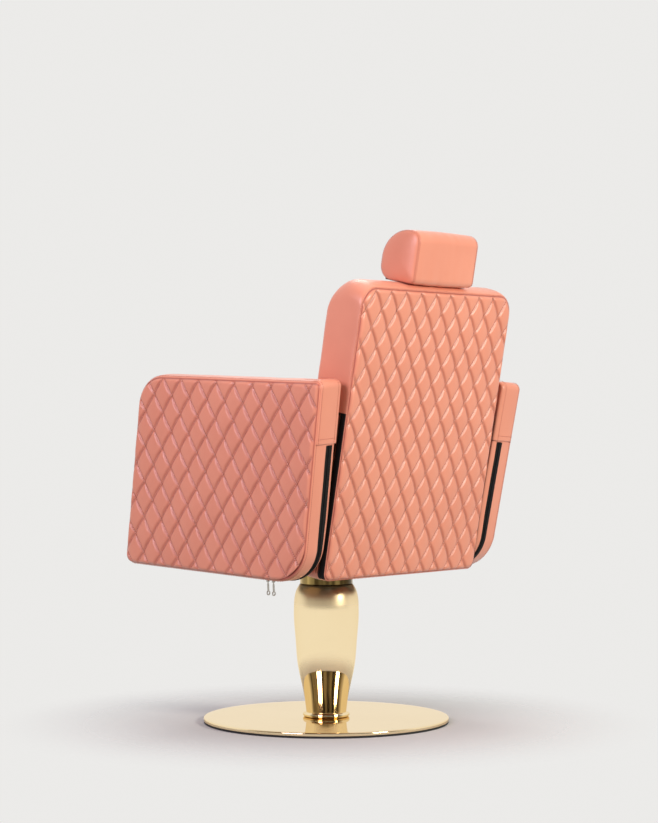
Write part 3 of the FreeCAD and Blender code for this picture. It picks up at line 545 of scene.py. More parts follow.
def plain_mesh(name, vertices, faces, edges=()):
    mesh = bpy.data.meshes.new(name)
    mesh.from_pydata([tuple(vertex) for vertex in vertices], edges, faces)
    return mesh


def set_attribute(mesh, name, kind, field, values):
    layer = mesh.attributes.new(name, kind, "POINT")
    layer.data.foreach_set(field, np.asarray(values, np.float32).ravel())


def finished(name, vertices, faces, body, material, smooth=True, seam=None, quilt=None):
    """A closed mesh piece in the chair's frame, facing outwards and riding on a body."""
    mesh = plain_mesh(name, vertices, faces)
    if seam is not None:
        set_attribute(mesh, "seam", "FLOAT", "value", seam)
    if quilt is not None:
        set_attribute(mesh, "quilt", "FLOAT_VECTOR", "vector", quilt)
    obj = add_object(name, mesh)
    tidy_mesh(mesh, smooth)
    mesh.materials.append(MATERIALS[material])
    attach(obj, body)
    return obj


def tidy_mesh(mesh, smooth=True):
    work = bmesh.new()
    work.from_mesh(mesh)
    bmesh.ops.remove_doubles(work, verts=work.verts, dist=1e-6)
    bmesh.ops.recalc_face_normals(work, faces=work.faces)
    for face in work.faces:
        face.smooth = smooth
    work.to_mesh(mesh)
    work.free()


def evaluated_mesh(obj):
    depsgraph = bpy.context.evaluated_depsgraph_get()
    return bpy.data.meshes.new_from_object(obj.evaluated_get(depsgraph), depsgraph=depsgraph)


def apply_modifiers(obj):
    made = evaluated_mesh(obj)
    obj.modifiers.clear()
    obj.data = made


def mesh_points(mesh):
    points = np.empty(len(mesh.vertices) * 3)
    mesh.vertices.foreach_get("co", points)
    return points.reshape(-1, 3)


def cut_box(obj, name, corners):
    """Takes a box, given by its eight corners, out of a closed piece."""
    mesh = plain_mesh(name, corners, BOX_FACES)
    tidy_mesh(mesh, False)
    cutter = add_object(name, mesh)
    modifier = obj.modifiers.new(name, "BOOLEAN")
    modifier.operation = "DIFFERENCE"
    modifier.object = cutter
    apply_modifiers(obj)
    bpy.data.objects.remove(cutter)


def sweep_faces(rows, columns, closed_rows, closed_columns):
    faces = []
    for row in range(rows if closed_rows else rows - 1):
        for column in range(columns if closed_columns else columns - 1):
            next_row = (row + 1) % rows
            next_column = (column + 1) % columns
            faces.append((row * columns + column, next_row * columns + column,
                          next_row * columns + next_column, row * columns + next_column))
    return faces


def capped_faces(rows, columns):
    """The faces of a closed section carried along an open path, with both its ends."""
    ends = [tuple(range(columns)), tuple((rows - 1) * columns + column for column in range(columns))]
    return sweep_faces(rows, columns, False, True) + ends


def sweep(points, normals, profile):
    """Vertices and faces of a closed profile of (depth, offset) pairs carried along a path."""
    vertices = []
    for point, normal in zip(points, normals):
        for depth, offset in profile:
            moved = point + normal * offset
            vertices.append((depth, moved[0], moved[1]))
    return np.array(vertices), capped_faces(len(points), len(profile))


def joined(parts):
    """Several lots of vertices and faces as one."""
    vertices = []
    faces = []
    for more_vertices, more_faces in parts:
        faces += [tuple(index + len(vertices) for index in face) for face in more_faces]
        vertices += list(more_vertices)
    return np.array(vertices), faces


def ring_loft(rings, place):
    """Closes a stack of equal rings into a solid with a pole at each end."""
    size = len(rings[0])
    vertices = [point for ring in rings for point in ring]
    faces = sweep_faces(len(rings), size, False, True)
    for ring_index in (0, len(rings) - 1):
        pole = len(vertices)
        vertices.append(np.mean(rings[ring_index], axis=0))
        first = ring_index * size
        faces += [(first + index, first + (index + 1) % size, pole) for index in range(size)]
    return place(np.array(vertices)), faces


def ring_shades(rings, dark):
    """Seam shade for every vertex of a ring loft, from the numbers of its dark rings."""
    shades = [np.full(len(ring), dark.get(index, 0.0)) for index, ring in enumerate(rings)]
    return np.concatenate(shades + [np.zeros(2)])


def quad_sheet(corners, roundings, spacing):
    """An even grid over a rounded four-cornered outline; corners run round the outline."""
    a, b, c, d = corners
    width = max(np.linalg.norm(b - a), np.linalg.norm(c - d))
    height = max(np.linalg.norm(d - a), np.linalg.norm(c - b))
    columns = int(width / spacing) + 1
    rows = int(height / spacing) + 1
    s, t = [grid.ravel() for grid in np.meshgrid(np.linspace(0, 1, columns), np.linspace(0, 1, rows))]
    for (corner_s, corner_t), radius in zip([(0, 0), (1, 0), (1, 1), (0, 1)], roundings):
        reach_s = radius / width
        reach_t = radius / height
        from_s = np.abs(s - corner_s)
        from_t = np.abs(t - corner_t)
        inside = (from_s < reach_s) & (from_t < reach_t)
        u = 1 - from_s[inside] / reach_s
        v = 1 - from_t[inside] / reach_t
        s[inside] = np.abs(corner_s - (1 - u * np.sqrt(1 - v * v / 2)) * reach_s)
        t[inside] = np.abs(corner_t - (1 - v * np.sqrt(1 - u * u / 2)) * reach_t)
    points = ((1 - s) * (1 - t))[:, None] * a + (s * (1 - t))[:, None] * b
    return points + (s * t)[:, None] * c + ((1 - s) * t)[:, None] * d, rows, columns


def pad_mesh(points, rows, columns, front, rear):
    """A closed pad: a grid at its front depths, a wall to its rear depth and a flat rear."""
    count = rows * columns
    ring = ([column for column in range(columns)]
            + [row * columns + columns - 1 for row in range(1, rows)]
            + [(rows - 1) * columns + column for column in range(columns - 2, -1, -1)]
            + [row * columns for row in range(rows - 2, 0, -1)])
    size = len(ring)
    base = np.column_stack([np.full(size, rear), points[ring]])
    faces = sweep_faces(rows, columns, False, False)
    for index in range(size):
        after = (index + 1) % size
        faces.append((ring[index], ring[after], count + after, count + index))
    faces.append(tuple(range(count, count + size)))
    return np.vstack([np.column_stack([front, points]), base]), faces


# Repeats along paths, by Geometry Nodes

def repeat_tree(name, piece_maker):
    """A tree that sets one small piece at every pitch along each path of a mesh."""
    tree = bpy.data.node_groups.new(name, "GeometryNodeTree")
    for label, kind in (("Geometry", "Geometry"), ("Pitch", "Float"), ("Length", "Float"),
                        ("Thickness", "Float"), ("Width", "Float"), ("Material", "Material")):
        tree.interface.new_socket(name=label, in_out="INPUT", socket_type="NodeSocket" + kind)
    tree.interface.new_socket(name="Geometry", in_out="OUTPUT", socket_type="NodeSocketGeometry")
    start, end, line, even, tangent, outward, lie_along, stand_up, place, real, paint = [
        tree.nodes.new(kind) for kind in (
            "NodeGroupInput", "NodeGroupOutput", "GeometryNodeMeshToCurve", "GeometryNodeResampleCurve",
            "GeometryNodeInputTangent", "GeometryNodeInputNamedAttribute",
            "FunctionNodeAlignRotationToVector", "FunctionNodeAlignRotationToVector",
            "GeometryNodeInstanceOnPoints", "GeometryNodeRealizeInstances", "GeometryNodeSetMaterial")]
    even.mode = "LENGTH"
    outward.data_type = "FLOAT_VECTOR"
    outward.inputs["Name"].default_value = "outward"
    lie_along.axis = "X"
    stand_up.axis = "Z"
    stand_up.pivot_axis = "X"
    tree.links.new(piece_maker(tree, start), place.inputs["Instance"])
    for source, label, target, socket in (
            (start, "Geometry", line, "Mesh"), (line, "Curve", even, "Curve"),
            (start, "Pitch", even, "Length"), (even, "Curve", place, "Points"),
            (tangent, "Tangent", lie_along, "Vector"), (lie_along, "Rotation", stand_up, "Rotation"),
            (outward, "Attribute", stand_up, "Vector"), (stand_up, "Rotation", place, "Rotation"),
            (place, "Instances", real, "Geometry"), (real, "Geometry", paint, "Geometry"),
            (start, "Material", paint, "Material"), (paint, "Geometry", end, "Geometry")):
        tree.links.new(source.outputs[label], target.inputs[socket])
    return tree


def piece_sizes(tree, start):
    sizes = tree.nodes.new("ShaderNodeCombineXYZ")
    for axis, label in zip("XYZ", ("Length", "Width", "Thickness")):
        tree.links.new(start.outputs[label], sizes.inputs[axis])
    return sizes.outputs["Vector"]


def stitch_piece(tree, start):
    """One stitch: a short round thread along X, thinned where it dips into the leather."""
    ball = tree.nodes.new("GeometryNodeMeshUVSphere")
    for label, value in (("Segments", 6), ("Rings", 4), ("Radius", 0.5)):
        ball.inputs[label].default_value = value
    stretch = tree.nodes.new("GeometryNodeTransform")
    tree.links.new(ball.outputs["Mesh"], stretch.inputs["Geometry"])
    tree.links.new(piece_sizes(tree, start), stretch.inputs["Scale"])
    return stretch.outputs["Geometry"]


def tooth_piece(tree, start):
    """One turn of a zipper coil, as a small block across the tape."""
    block = tree.nodes.new("GeometryNodeMeshCube")
    tree.links.new(piece_sizes(tree, start), block.inputs["Size"])
    return block.outputs["Mesh"]


STITCHING = repeat_tree("stitching", stitch_piece)
COIL_TEETH = repeat_tree("coil_teeth", tooth_piece)


def along_paths(name, tree, paths, sizes, body, material):
    """Pieces repeated along paths of (points, outward directions), as one plain mesh."""
    edges = []
    first = 0
    for points, _ in paths:
        edges += [(first + i, first + i + 1) for i in range(len(points) - 1)]
        first += len(points)
    mesh = plain_mesh(name + "_paths", np.vstack([points for points, _ in paths]), [], edges)
    set_attribute(mesh, "outward", "FLOAT_VECTOR", "vector", np.vstack([outward for _, outward in paths]))
    guide = add_object(name + "_paths", mesh)
    modifier = guide.modifiers.new("repeat", "NODES")
    modifier.node_group = tree
    values = dict(zip(("Pitch", "Length", "Width", "Thickness"), sizes), Material=MATERIALS[material])
    for item in tree.interface.items_tree:
        if item.in_out == "INPUT" and item.name in values:
            modifier[item.identifier] = values[item.name]
    made = evaluated_mesh(guide)
    bpy.data.objects.remove(guide)
    obj = add_object(name, made)
    made.polygons.foreach_set("use_smooth", [material != "coil"] * len(made.polygons))
    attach(obj, body)
    return obj


def raised(place, points, ahead):
    """A path and its outward directions in the chair's frame, from two rows that lie AHEAD apart."""
    base = place(points)
    return base, (place(ahead) - base) / AHEAD


def edge_path(place, depth, row, directions):
    """The same for a row on a padded edge, whose outward directions lie in the outline's plane."""
    depths = np.broadcast_to(depth, len(row))
    return raised(place, np.column_stack([depths, row]),
                  np.column_stack([depths, row + directions * AHEAD]))


def stitch_rows(name, paths, body, material="thread"):
    sizes = (STITCH_PITCH, STITCH_LENGTH, 2 * THREAD_RADIUS, 2 * THREAD_RADIUS)
    return along_paths(name, STITCHING, paths, sizes, body, material)


def coil_row(name, path, thickness, body):
    return along_paths(name, COIL_TEETH, [path], (0.0015, 0.00085, 0.0050, thickness), body, "coil")


# Quilting

def lattice(points, quilt):
    """Counts of diamond sides crossed in each of the two sewn directions."""
    origin, turn, width, height = quilt
    moved = np.asarray(points, float) - np.array(origin)
    across = moved[:, 0] * math.cos(turn) + moved[:, 1] * math.sin(turn)
    up = -moved[:, 0] * math.sin(turn) + moved[:, 1] * math.cos(turn)
    return across / width - up / height, across / width + up / height


def pillow_height(counts):
    """Height of the quilting: even flanks rise from the seams to a bowed edge and a slightly domed top."""
    shares = [np.clip(1 - 2 * np.abs(count - np.floor(count) - 0.5), 0, 1) for count in counts]
    pinched = ((1 - shares[0]) * (1 - shares[1])) ** 2
    dome = np.sin(shares[0] * math.pi / 2) * np.sin(shares[1] * math.pi / 2)
    height = PILLOW_RISE * (1 - pinched) + PILLOW_DOME * dome
    for share in shares:
        flank = PILLOW_SLOPE * HALF_DIAMOND * share
        height = (height + flank - np.sqrt((height - flank) ** 2 + PILLOW_BEND ** 2)) / 2
    return height


def puckers(points, scale, depth):
    """A slow, smooth unevenness for padded leather."""
    values = [noise.noise(Vector((point[0], point[1], 0.0)) * scale) for point in points]
    return depth * np.array(values)


def diamond_lines(quilt, inside):
    """The sewn lines of both directions, as runs of 2D points that pass the inside test."""
    origin, turn, width, height = quilt
    runs = []
    reach = 16
    along = np.linspace(-reach, reach, reach * 44)
    for direction in (0, 1):
        for step in range(-reach, reach + 1):
            level = np.full(len(along), float(step))
            rising, falling = (level, along) if direction == 0 else (along, level)
            across = (rising + falling) / 2 * width
            up = (falling - rising) / 2 * height
            points = np.stack([origin[0] + across * math.cos(turn) - up * math.sin(turn),
                               origin[1] + across * math.sin(turn) + up * math.cos(turn)], axis=1)
            run = points[inside(points)]
            if len(run) > 4:
                runs.append(run)
    return runs


def quilted_pad(name, corners, roundings, base, seam, rear, quilt, place, body, node):
    """A diamond-quilted pad over a rounded outline, its face along the place's depth axis."""
    points, rows, columns = quad_sheet(corners, roundings, 0.0020)
    depth = np.maximum(rounded_depth(points, corners, roundings), 0)
    counts = lattice(points, quilt)

    def face_height(spots, depths, lift):
        """The padded face, lifted by the pillows or the thread's own height."""
        shoulder = np.sqrt(1 - (1 - np.clip(depths / PANEL_CROWN, 0, 1)) ** 2)
        swell = np.clip(depths / SWELL_REACH, 0, 1) ** 0.7
        uneven = puckers(spots, PUCKER_SCALE, PUCKER_DEPTH) * swell
        return seam + (base - seam) * shoulder + lift(swell) + uneven

    front = face_height(points, depth, lambda swell: pillow_height(counts) * swell)
    vertices, faces = pad_mesh(points, rows, columns, front, rear)
    hidden = len(vertices) - len(points)
    shade = np.concatenate([np.exp(-depth / 0.0012), np.full(hidden, 1.0)])
    sewn = np.column_stack([counts[0], counts[1], np.clip(depth / 0.004, 0, 1)])
    sewn = np.vstack([sewn, np.zeros((hidden, 3))])
    obj = finished(name, place(vertices), faces, body, "leather", seam=shade, quilt=sewn)
    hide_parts(node)
    rows_of_thread = []
    for run in diamond_lines(quilt, lambda spots: rounded_depth(spots, corners, roundings) > 0.0035):
        height = face_height(run, rounded_depth(run, corners, roundings), lambda swell: 0.0010)
        rows_of_thread.append(raised(place, np.column_stack([height, run]),
                                     np.column_stack([height + AHEAD, run])))
    stitch_rows(name + "_quilt_stitches", rows_of_thread, body, "thread")


# Arms

def soft_offset(path, depths, amount, seed):
    """Slow unevenness of a padded band, one value for each path point and profile point."""
    return amount * np.array([[noise.noise(Vector((point[0] * 17, point[1] * 17, depth * 30 + seed)))
                               for depth in depths] for point in path])


def edge_inset(normals):
    """How far the panel's seam lies inside the arm's outline, by the way that the edge faces."""
    up = np.clip(normals[:, 1], 0, 1) ** 2
    down = np.clip(-normals[:, 1], 0, 1) ** 2
    side, top, _, low = ARM_PANEL_INSETS
    return side + (top - side) * up + (low - side) * down


def arm_body(side, hand):
    """The arm's plain boxing and its plain inner face, with a sunk seam round that face."""
    place = arm_place(hand)
    path, normals = rounded_path(ARM_CORNERS, ARM_ROUNDINGS, 0.004)
    count = len(path)
    inset = edge_inset(normals)
    seam_x = ARM_SEAM_X
    outer_edge = [(0.0020, 1.6, -0.0034), (0.0004, 1.4, -0.0016), (-0.0004, 1.0, -0.0004),
                  (0.0006, 0.80, 0.0), (0.0026, 0.46, 0.0), (0.0052, 0.20, 0.0), (0.0090, 0.05, 0.0)]
    profile = [(seam_x - drop, -share * inset + shift) for drop, share, shift in outer_edge]
    for share in np.linspace(0.04, 0.96, 10):
        depth = (seam_x - 0.0110) * (1 - share) + 0.0095 * share
        profile.append((depth, np.full(count, 0.0011 * math.sin(math.pi * share))))
    inner_edge = [(0.0095, -0.0003), (0.0060, -0.0016), (0.0036, -0.0036), (0.0022, -0.0062),
                  (0.0028, -0.0078), (0.0024, -0.0094), (0.0012, -0.0118), (0.0004, -0.0135)]
    profile += [(depth, np.full(count, offset)) for depth, offset in inner_edge]
    uneven = soft_offset(path, [depth for depth, _ in profile], 0.0007, 3.0 + hand)
    rings = []
    for column, (depth, offset) in enumerate(profile):
        fade = 1.0 if 0.009 < depth < 0.054 else 0.25
        moved = path + normals * (offset + fade * uneven[:, column])[:, None]
        rings.append(np.column_stack([np.full(count, depth), moved]))
    inner = rings[-1][:, 1:]
    outer = rings[0][:, 1:]
    for share in (0.93, 0.82, 0.68, 0.5, 0.3, 0.12):
        flat = ARM_MIDDLE + (inner - ARM_MIDDLE) * share
        rings.append(np.column_stack([0.0006 + puckers(flat, 9.0, 0.0005), flat]))
    for share in (0.9, 0.5, 0.1):
        rings.insert(0, np.column_stack([np.full(count, seam_x - 0.0020),
                                         ARM_MIDDLE + (outer - ARM_MIDDLE) * share]))
    vertices, faces = ring_loft(rings, place)
    seam = ring_shades(rings, {3: 1.0, 4: 1.0, 5: 1.0, 6: 0.5, len(rings) - 11: 0.8})
    obj = finished(side + "_arm_boxing", vertices, faces, "seat", "leather", seam=seam)
    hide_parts(side + "_arm_body")
    inner_seam = path + normals * -0.0108
    outer_seam = path + normals * (0.0004 - 0.20 * inset)[:, None]
    rows = [(0.0014, inner_seam, 0.0014 - AHEAD, inner_seam),
            (seam_x - 0.0054, outer_seam, seam_x - 0.0044, outer_seam + normals * AHEAD)]
    paths = [raised(place, looped(np.column_stack([np.full(count, depth), row])),
                    looped(np.column_stack([np.full(count, far_depth), far_row])))
             for depth, row, far_depth, far_row in rows]
    stitch_rows(side + "_arm_seam_stitches", paths, "seat", "shaded_thread")


def band_profile(inner, outer, skin, rounding):
    """A thin band's section: (depth, offset) pairs, its outer edges rounded."""
    return [(inner, -0.0012), (inner, skin - rounding), (inner + rounding * 0.4, skin - 0.0002),
            (inner + rounding * 1.4, skin), ((inner + outer) / 2, skin + 0.0003),
            (outer - rounding * 1.4, skin), (outer - rounding * 0.4, skin - 0.0002),
            (outer, skin - rounding), (outer, -0.0012)]


def arm_cap(side, hand):
    """The plain cap wrapped over the arm's top rear corner, with rows of stitches at its edges."""
    place = arm_place(hand)
    points, directions = open_run(*rounded_path(ARM_CORNERS, ARM_ROUNDINGS, 0.003),
                                  lambda point: point[1] > ARM_CAP_LOW and point[0] > ARM_CAP_FRONT)
    outer = ARM_SEAM_X - 0.0030
    profile = [(0.0030, -0.0066), (0.0006, -0.0056), (0.0006, -0.0024), (0.0022, 0.0002),
               (0.0052, 0.0020), (0.0110, 0.0029), (0.0360, 0.0033), (outer - 0.0090, 0.0029),
               (outer - 0.0026, 0.0020), (outer - 0.0006, 0.0008), (outer, -0.0012)]
    front_first = points[0][1] > points[-1][1]
    front_end = points[0] if front_first else points[-1]
    tuck = eased(np.linalg.norm(points - front_end, axis=1) / ARM_CAP_TUCK_RUN)
    tucked = points - directions * (ARM_CAP_TUCK * (1 - tuck))[:, None]
    vertices, faces = sweep(tucked, directions, profile)
    obj = finished(side + "_arm_cap", place(vertices), faces, "seat", "leather")
    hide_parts(side + "_arm_rear_cap")
    paths = [edge_path(place, depth, points + directions * lift, directions)
             for depth, lift in ((0.0110, 0.0031), (outer - 0.0044, 0.0027))]
    low_end = len(points) - 5 if front_first else 4
    across = np.linspace(0.0110, outer - 0.0044, 14)
    row = np.tile(points[low_end] + directions[low_end] * 0.0033, (len(across), 1))
    paths.append(edge_path(place, across, row, directions[low_end]))
    stitch_rows(side + "_arm_cap_stitches", paths, "seat", "shaded_thread")


def zip_bands(middle, inner, outer, skins, roundings):
    """The sections of a zipper's two tapes and of the floor between them."""
    return [band_profile(inner, middle - ZIP_GAP, skins[0], roundings[0]),
            band_profile(middle + ZIP_GAP, outer, skins[0], roundings[0]),
            band_profile(middle - ZIP_FLOOR_REACH, middle + ZIP_FLOOR_REACH, skins[1], roundings[1])]


def arm_zip(side, hand):
    """The zipper in the arm's boxing: two woven tapes with the coil between their edges."""
    place = arm_place(hand)
    points, directions = open_run(*rounded_path(ARM_CORNERS, ARM_ROUNDINGS, 0.003),
                                  lambda point: point[1] < ARM_CAP_LOW and point[0] > ARM_ZIP_FRONT)
    bands = zip_bands(ZIP_MIDDLE, ZIP_MIDDLE - ZIP_TAPE_REACH, ZIP_MIDDLE + ZIP_TAPE_REACH,
                      (0.0014, 0.0009), (0.0004, 0.0003))
    vertices, faces = joined([sweep(points, directions, band) for band in bands])
    tape = finished(side + "_arm_zipper_tape", place(vertices), faces, "seat", "tape")
    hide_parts(side + "_arm_zip_tape")
    coil = coil_row(side + "_arm_zipper_coil",
                    edge_path(place, ZIP_MIDDLE, points + directions * 0.0021, directions), 0.0013, "seat")
    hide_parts(side + "_arm_zip_coil")


def arm_panel(side, hand):
    quilted_pad(side + "_arm_quilting", inset_outline(ARM_CORNERS, ARM_PANEL_INSETS), ARM_PANEL_ROUNDINGS,
                0.0672, ARM_SEAM_X + 0.0002, ARM_SEAM_X - 0.0030, ARM_QUILT, arm_place(hand), "seat",
                side + "_arm_quilted_panel")


for arm_side, arm_hand in (("left", 1), ("right", -1)):
    arm_body(arm_side, arm_hand)
    arm_panel(arm_side, arm_hand)
    arm_cap(arm_side, arm_hand)
    arm_zip(arm_side, arm_hand)


# Back

BACK_ROUNDINGS = [BACK_LOW_CORNER, BACK_LOW_CORNER, BACK_CORNER, BACK_CORNER]

# Boxing sections as (depth, growth), for the sides and for the crowned top edge
BACK_SIDE = np.array([
    (0.0420, -0.0100), (0.0438, -0.0050), (0.0446, -0.0026), (0.0438, -0.0008), (0.0410, 0.0003),
    (0.0340, 0.0010), (0.0240, 0.0015), (0.0120, 0.0018), (0.0000, 0.0018), (-0.0130, 0.0016),
    (-0.0270, 0.0012), (-0.0370, 0.0006), (-0.0440, -0.0006), (-0.0486, -0.0030), (-0.0512, -0.0076),
    (-0.0524, -0.0160)])
BACK_CROWN = np.array([
    (0.0420, -0.0100), (0.0438, -0.0050), (0.0446, -0.0024), (0.0438, 0.0000), (0.0405, 0.0034),
    (0.0330, 0.0070), (0.0230, 0.0098), (0.0110, 0.0114), (-0.0010, 0.0116), (-0.0120, 0.0100),
    (-0.0230, 0.0060), (-0.0330, -0.0012), (-0.0410, -0.0106), (-0.0462, -0.0216), (-0.0494, -0.0340),
    (-0.0512, -0.0480)])
BACK_STITCHED = 3


def back_corners(side_growth=0.0, top_growth=0.0):
    half = BACK_HALF + side_growth
    low, top = BACK_LOW - side_growth, BACK_SEAM_TOP + top_growth
    return [(-half, low), (half, low), (half, top), (-half, top)]


def back_ring(side_growth, top_growth):
    return matched_ring(back_corners(side_growth, top_growth),
                        [max(size + side_growth, 0.010) for size in BACK_ROUNDINGS])


def back_body():
    """The back's boxing and plain front, closed, with room at the foot for the hinge brackets."""
    path, normals = back_ring(0.0, 0.0)
    count = len(path)
    topness = eased((normals[:, 1] - 0.15) / 0.8)
    uneven = soft_offset(path, BACK_SIDE[:, 0], 0.0010, 11.0)
    first = path - normals * 0.0100
    rings = [np.column_stack([np.full(count, 0.0416), BACK_MIDDLE + (first - BACK_MIDDLE) * share])
             for share in (0.1, 0.5, 0.9)]
    for index, (side, crown) in enumerate(zip(BACK_SIDE, BACK_CROWN)):
        depth = side[0] * (1 - topness) + crown[0] * topness
        ring, _ = back_ring(side[1], crown[1])
        fade = 1.0 if 4 <= index <= 13 else 0.25
        rings.append(np.column_stack([depth, ring + normals * (fade * uneven[:, index])[:, None]]))
    last = rings[-1][:, 1:]
    for share in (0.94, 0.85, 0.72, 0.56, 0.4, 0.22, 0.08):
        flat = BACK_MIDDLE + (last - BACK_MIDDLE) * share
        swell = BACK_FACE_DEPTH - 0.0030 * (1 - share ** 2) + puckers(flat, 8.0, 0.0010)
        rings.append(np.column_stack([swell, flat]))
    vertices, faces = ring_loft(rings, back_depth_place)
    seam = ring_shades(rings, {3: 1.0, 4: 1.0, 5: 1.0})
    obj = finished("back_boxing", vertices, faces, "back", "leather", seam=seam)
    cut_box(obj, "notch", back_place([(x, depth, up) for x in (-0.232, 0.232) for depth in (-0.096, 0.012)
                                      for up in (-0.040, 0.022)]))
    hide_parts("back_cushion")
    (side_depth, side_rise), (top_depth, top_rise) = BACK_SIDE[BACK_STITCHED], BACK_CROWN[BACK_STITCHED]
    row = path + normals * (side_rise * (1 - topness) + top_rise * topness + 0.0004)[:, None]
    depth = side_depth * (1 - topness) + top_depth * topness - 0.0003
    stitch_rows("back_seam_stitches", [edge_path(back_depth_place, depth, row, normals)], "back",
                "shaded_thread")


def back_panel():
    quilted_pad("back_quilting", inset_outline(back_corners(), [BACK_PANEL_INSET] * 4),
                [size - BACK_PANEL_INSET for size in BACK_ROUNDINGS],
                0.0448, 0.0446, 0.0416, BACK_QUILT, back_depth_place, "back", "back_quilted_panel")


def back_zips():
    """A black zipper down each side boxing and round its lower corner, just inside the panel's seam."""
    heights = np.arange(BACK_LOW + 0.0035, BACK_ZIP_TOP + 0.001, 0.0025)
    drop = np.clip(BACK_LOW_CORNER - (heights - BACK_LOW), 0, None)
    edges = BACK_HALF - BACK_LOW_CORNER + np.sqrt(BACK_LOW_CORNER ** 2 - drop ** 2)
    front = BACK_ZIP_REAR - BACK_ZIP_WIDTH
    middle = (BACK_ZIP_REAR + front) / 2
    sections = zip_bands(middle, front, BACK_ZIP_REAR, (0.0016, 0.0010), (0.0005, 0.0005))
    for side, hand in (("left", 1), ("right", -1)):
        vertices, faces = joined([([(hand * (edge + offset), depth, height)
                                    for height, edge in zip(heights, edges) for depth, offset in section],
                                   capped_faces(len(heights), len(section))) for section in sections])
        tape = finished("back_zipper_tape_" + side, back_place(vertices), faces, "back", "tape")
        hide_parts("back_zip_" + side)
        line = np.column_stack([hand * (edges + 0.0020), np.full(len(edges), middle), heights])
        coil_row("back_zipper_coil_" + side,
                 raised(back_place, line, line + np.array([hand * AHEAD, 0, 0])), 0.0012, "back")


back_body()
back_panel()
back_zips()


# Headrest

def headrest_body():
    """A D-section bolster with round end faces set in by a stitched seam."""
    corners = [(BACK_FRONT, HEAD_LOW), (BACK_REAR, HEAD_LOW), (BACK_REAR, HEAD_TOP), (BACK_FRONT, HEAD_TOP)]
    roundings = [HEAD_FRONT_LOW_ROLL, HEAD_LOW_ROLL, HEAD_REAR_ROLL, HEAD_FRONT_ROLL]
    path, normals = rounded_path(corners, roundings, 0.0025)
    centre = np.array([0.0, (HEAD_LOW + HEAD_TOP) / 2])
    half = HEAD_HALF
    end_face = [(0.0052, 0.15), (0.0044, 0.4), (0.0026, 0.65), (0.0004, 0.83), (-0.0014, 0.92)]
    end_roll = [(-0.0030, -0.0022), (-0.0042, -0.0008), (-0.0049, -0.0007), (-0.0054, -0.0022),
                (-0.0060, -0.0008), (-0.0076, 0.0002), (-0.0120, 0.0008), (-0.0180, 0.0010)]
    groove = len(end_face) + 3
    stations = [(half + out, centre + (path - centre) * share) for out, share in end_face]
    stations += [(half + out, path + normals * offset) for out, offset in end_roll]
    stations += [(x, path + normals * (0.0010 + 0.0016 * (1 - (x / half) ** 2)))
                 for x in np.linspace(half - 0.024, 0.0, 22)[:-1]]
    middle = [(0.0, path + normals * 0.0026)]
    both = [(-x, ring) for x, ring in stations] + middle + stations[::-1]
    rings = [np.column_stack([ring[:, 0], np.full(len(ring), x), ring[:, 1]]) for x, ring in both]
    for ring in rings:
        across = ring[0, 1]
        wrinkle = math.cos(math.pi * across / (2 * half)) ** 0.5 if abs(across) < half - 0.02 else 0
        for row in range(len(ring)):
            low = max(0.0, 1 - (ring[row, 2] - HEAD_LOW) / 0.035)
            spot = Vector((across * 55, ring[row, 0] * 14, ring[row, 2] * 9))
            ring[row, 0] += wrinkle * (0.0004 + 0.0011 * low) * noise.noise(spot) * np.sign(ring[row, 0])
            ring[row, 2] += wrinkle * 0.0009 * noise.noise(spot + Vector((7, 3, 1)))
    vertices, faces = ring_loft(rings, back_depth_place)
    seam = ring_shades(rings, {groove: 1.0, len(rings) - 1 - groove: 1.0})
    obj = finished("headrest_bolster", vertices, faces, "headrest", "leather", seam=seam)
    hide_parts("headrest_cushion", "headrest_ends")
    paths = []
    for hand in (-1, 1):
        for drop, offset in ((0.0036, -0.0010), (0.0076, 0.0004)):
            line, far = [looped(np.column_stack([row[:, 0], np.full(len(row), hand * (half - drop)),
                                                 row[:, 1]]))
                         for row in (path + normals * offset, path + normals * (offset + AHEAD))]
            paths.append(raised(back_depth_place, line, far))
    stitch_rows("headrest_end_stitches", paths, "headrest", "shaded_thread")


headrest_body()


# Seat

def seat_half_width(height):
    return ARM_INNER + (height - ARM_LOW) * math.tan(ARM_SPLAY) - SEAT_GAP


def seat_rear(height):
    half_rear = (BACK_FRONT - SEAT_BACK_GAP) / math.cos(BACK_LEAN)
    return HINGE_Y + half_rear + (height - HINGE_Z) * math.tan(BACK_LEAN)


def seat_shell():
    """A box cushion as a closed grid, a little smaller than its finished size."""
    work = bmesh.new()
    below = None
    for share in np.linspace(0, 1, SEAT_LEVELS):
        low = SEAT_LOW + SEAT_SHRINK * 0.3
        height = low + (SEAT_TOP - 0.016 - low) * share
        half = seat_half_width(height) - SEAT_SHRINK - 0.004 * (share ** 4)
        front = SEAT_FRONT + SEAT_SHRINK + 0.034 * share ** 5
        rear = seat_rear(height) - SEAT_SHRINK - 0.004 * (share ** 4)
        path, _ = rounded_path([(-half, front), (half, front), (half, rear), (-half, rear)],
                               [SEAT_CORNER] * 4, 0.012)
        picks = np.linspace(0, len(path), SEAT_RING_POINTS, endpoint=False)
        closed = looped(path)
        ring = np.stack([np.interp(picks, np.arange(len(closed)), closed[:, axis])
                         for axis in (0, 1)], axis=1)
        verts = [work.verts.new((x, y, height)) for x, y in ring]
        if below is None:
            work.faces.new(verts)
        else:
            for i in range(SEAT_RING_POINTS):
                after = (i + 1) % SEAT_RING_POINTS
                work.faces.new((below[i], below[after], verts[after], verts[i]))
        below = verts
    work.faces.new(below)
    bmesh.ops.recalc_face_normals(work, faces=work.faces)
    mesh = bpy.data.meshes.new("seat_pad")
    work.to_mesh(mesh)
    work.free()
    return mesh


def voxel_remesh(obj, size):
    remesh = obj.modifiers.new("remesh", "REMESH")
    remesh.mode = "VOXEL"
    remesh.voxel_size = size
    apply_modifiers(obj)


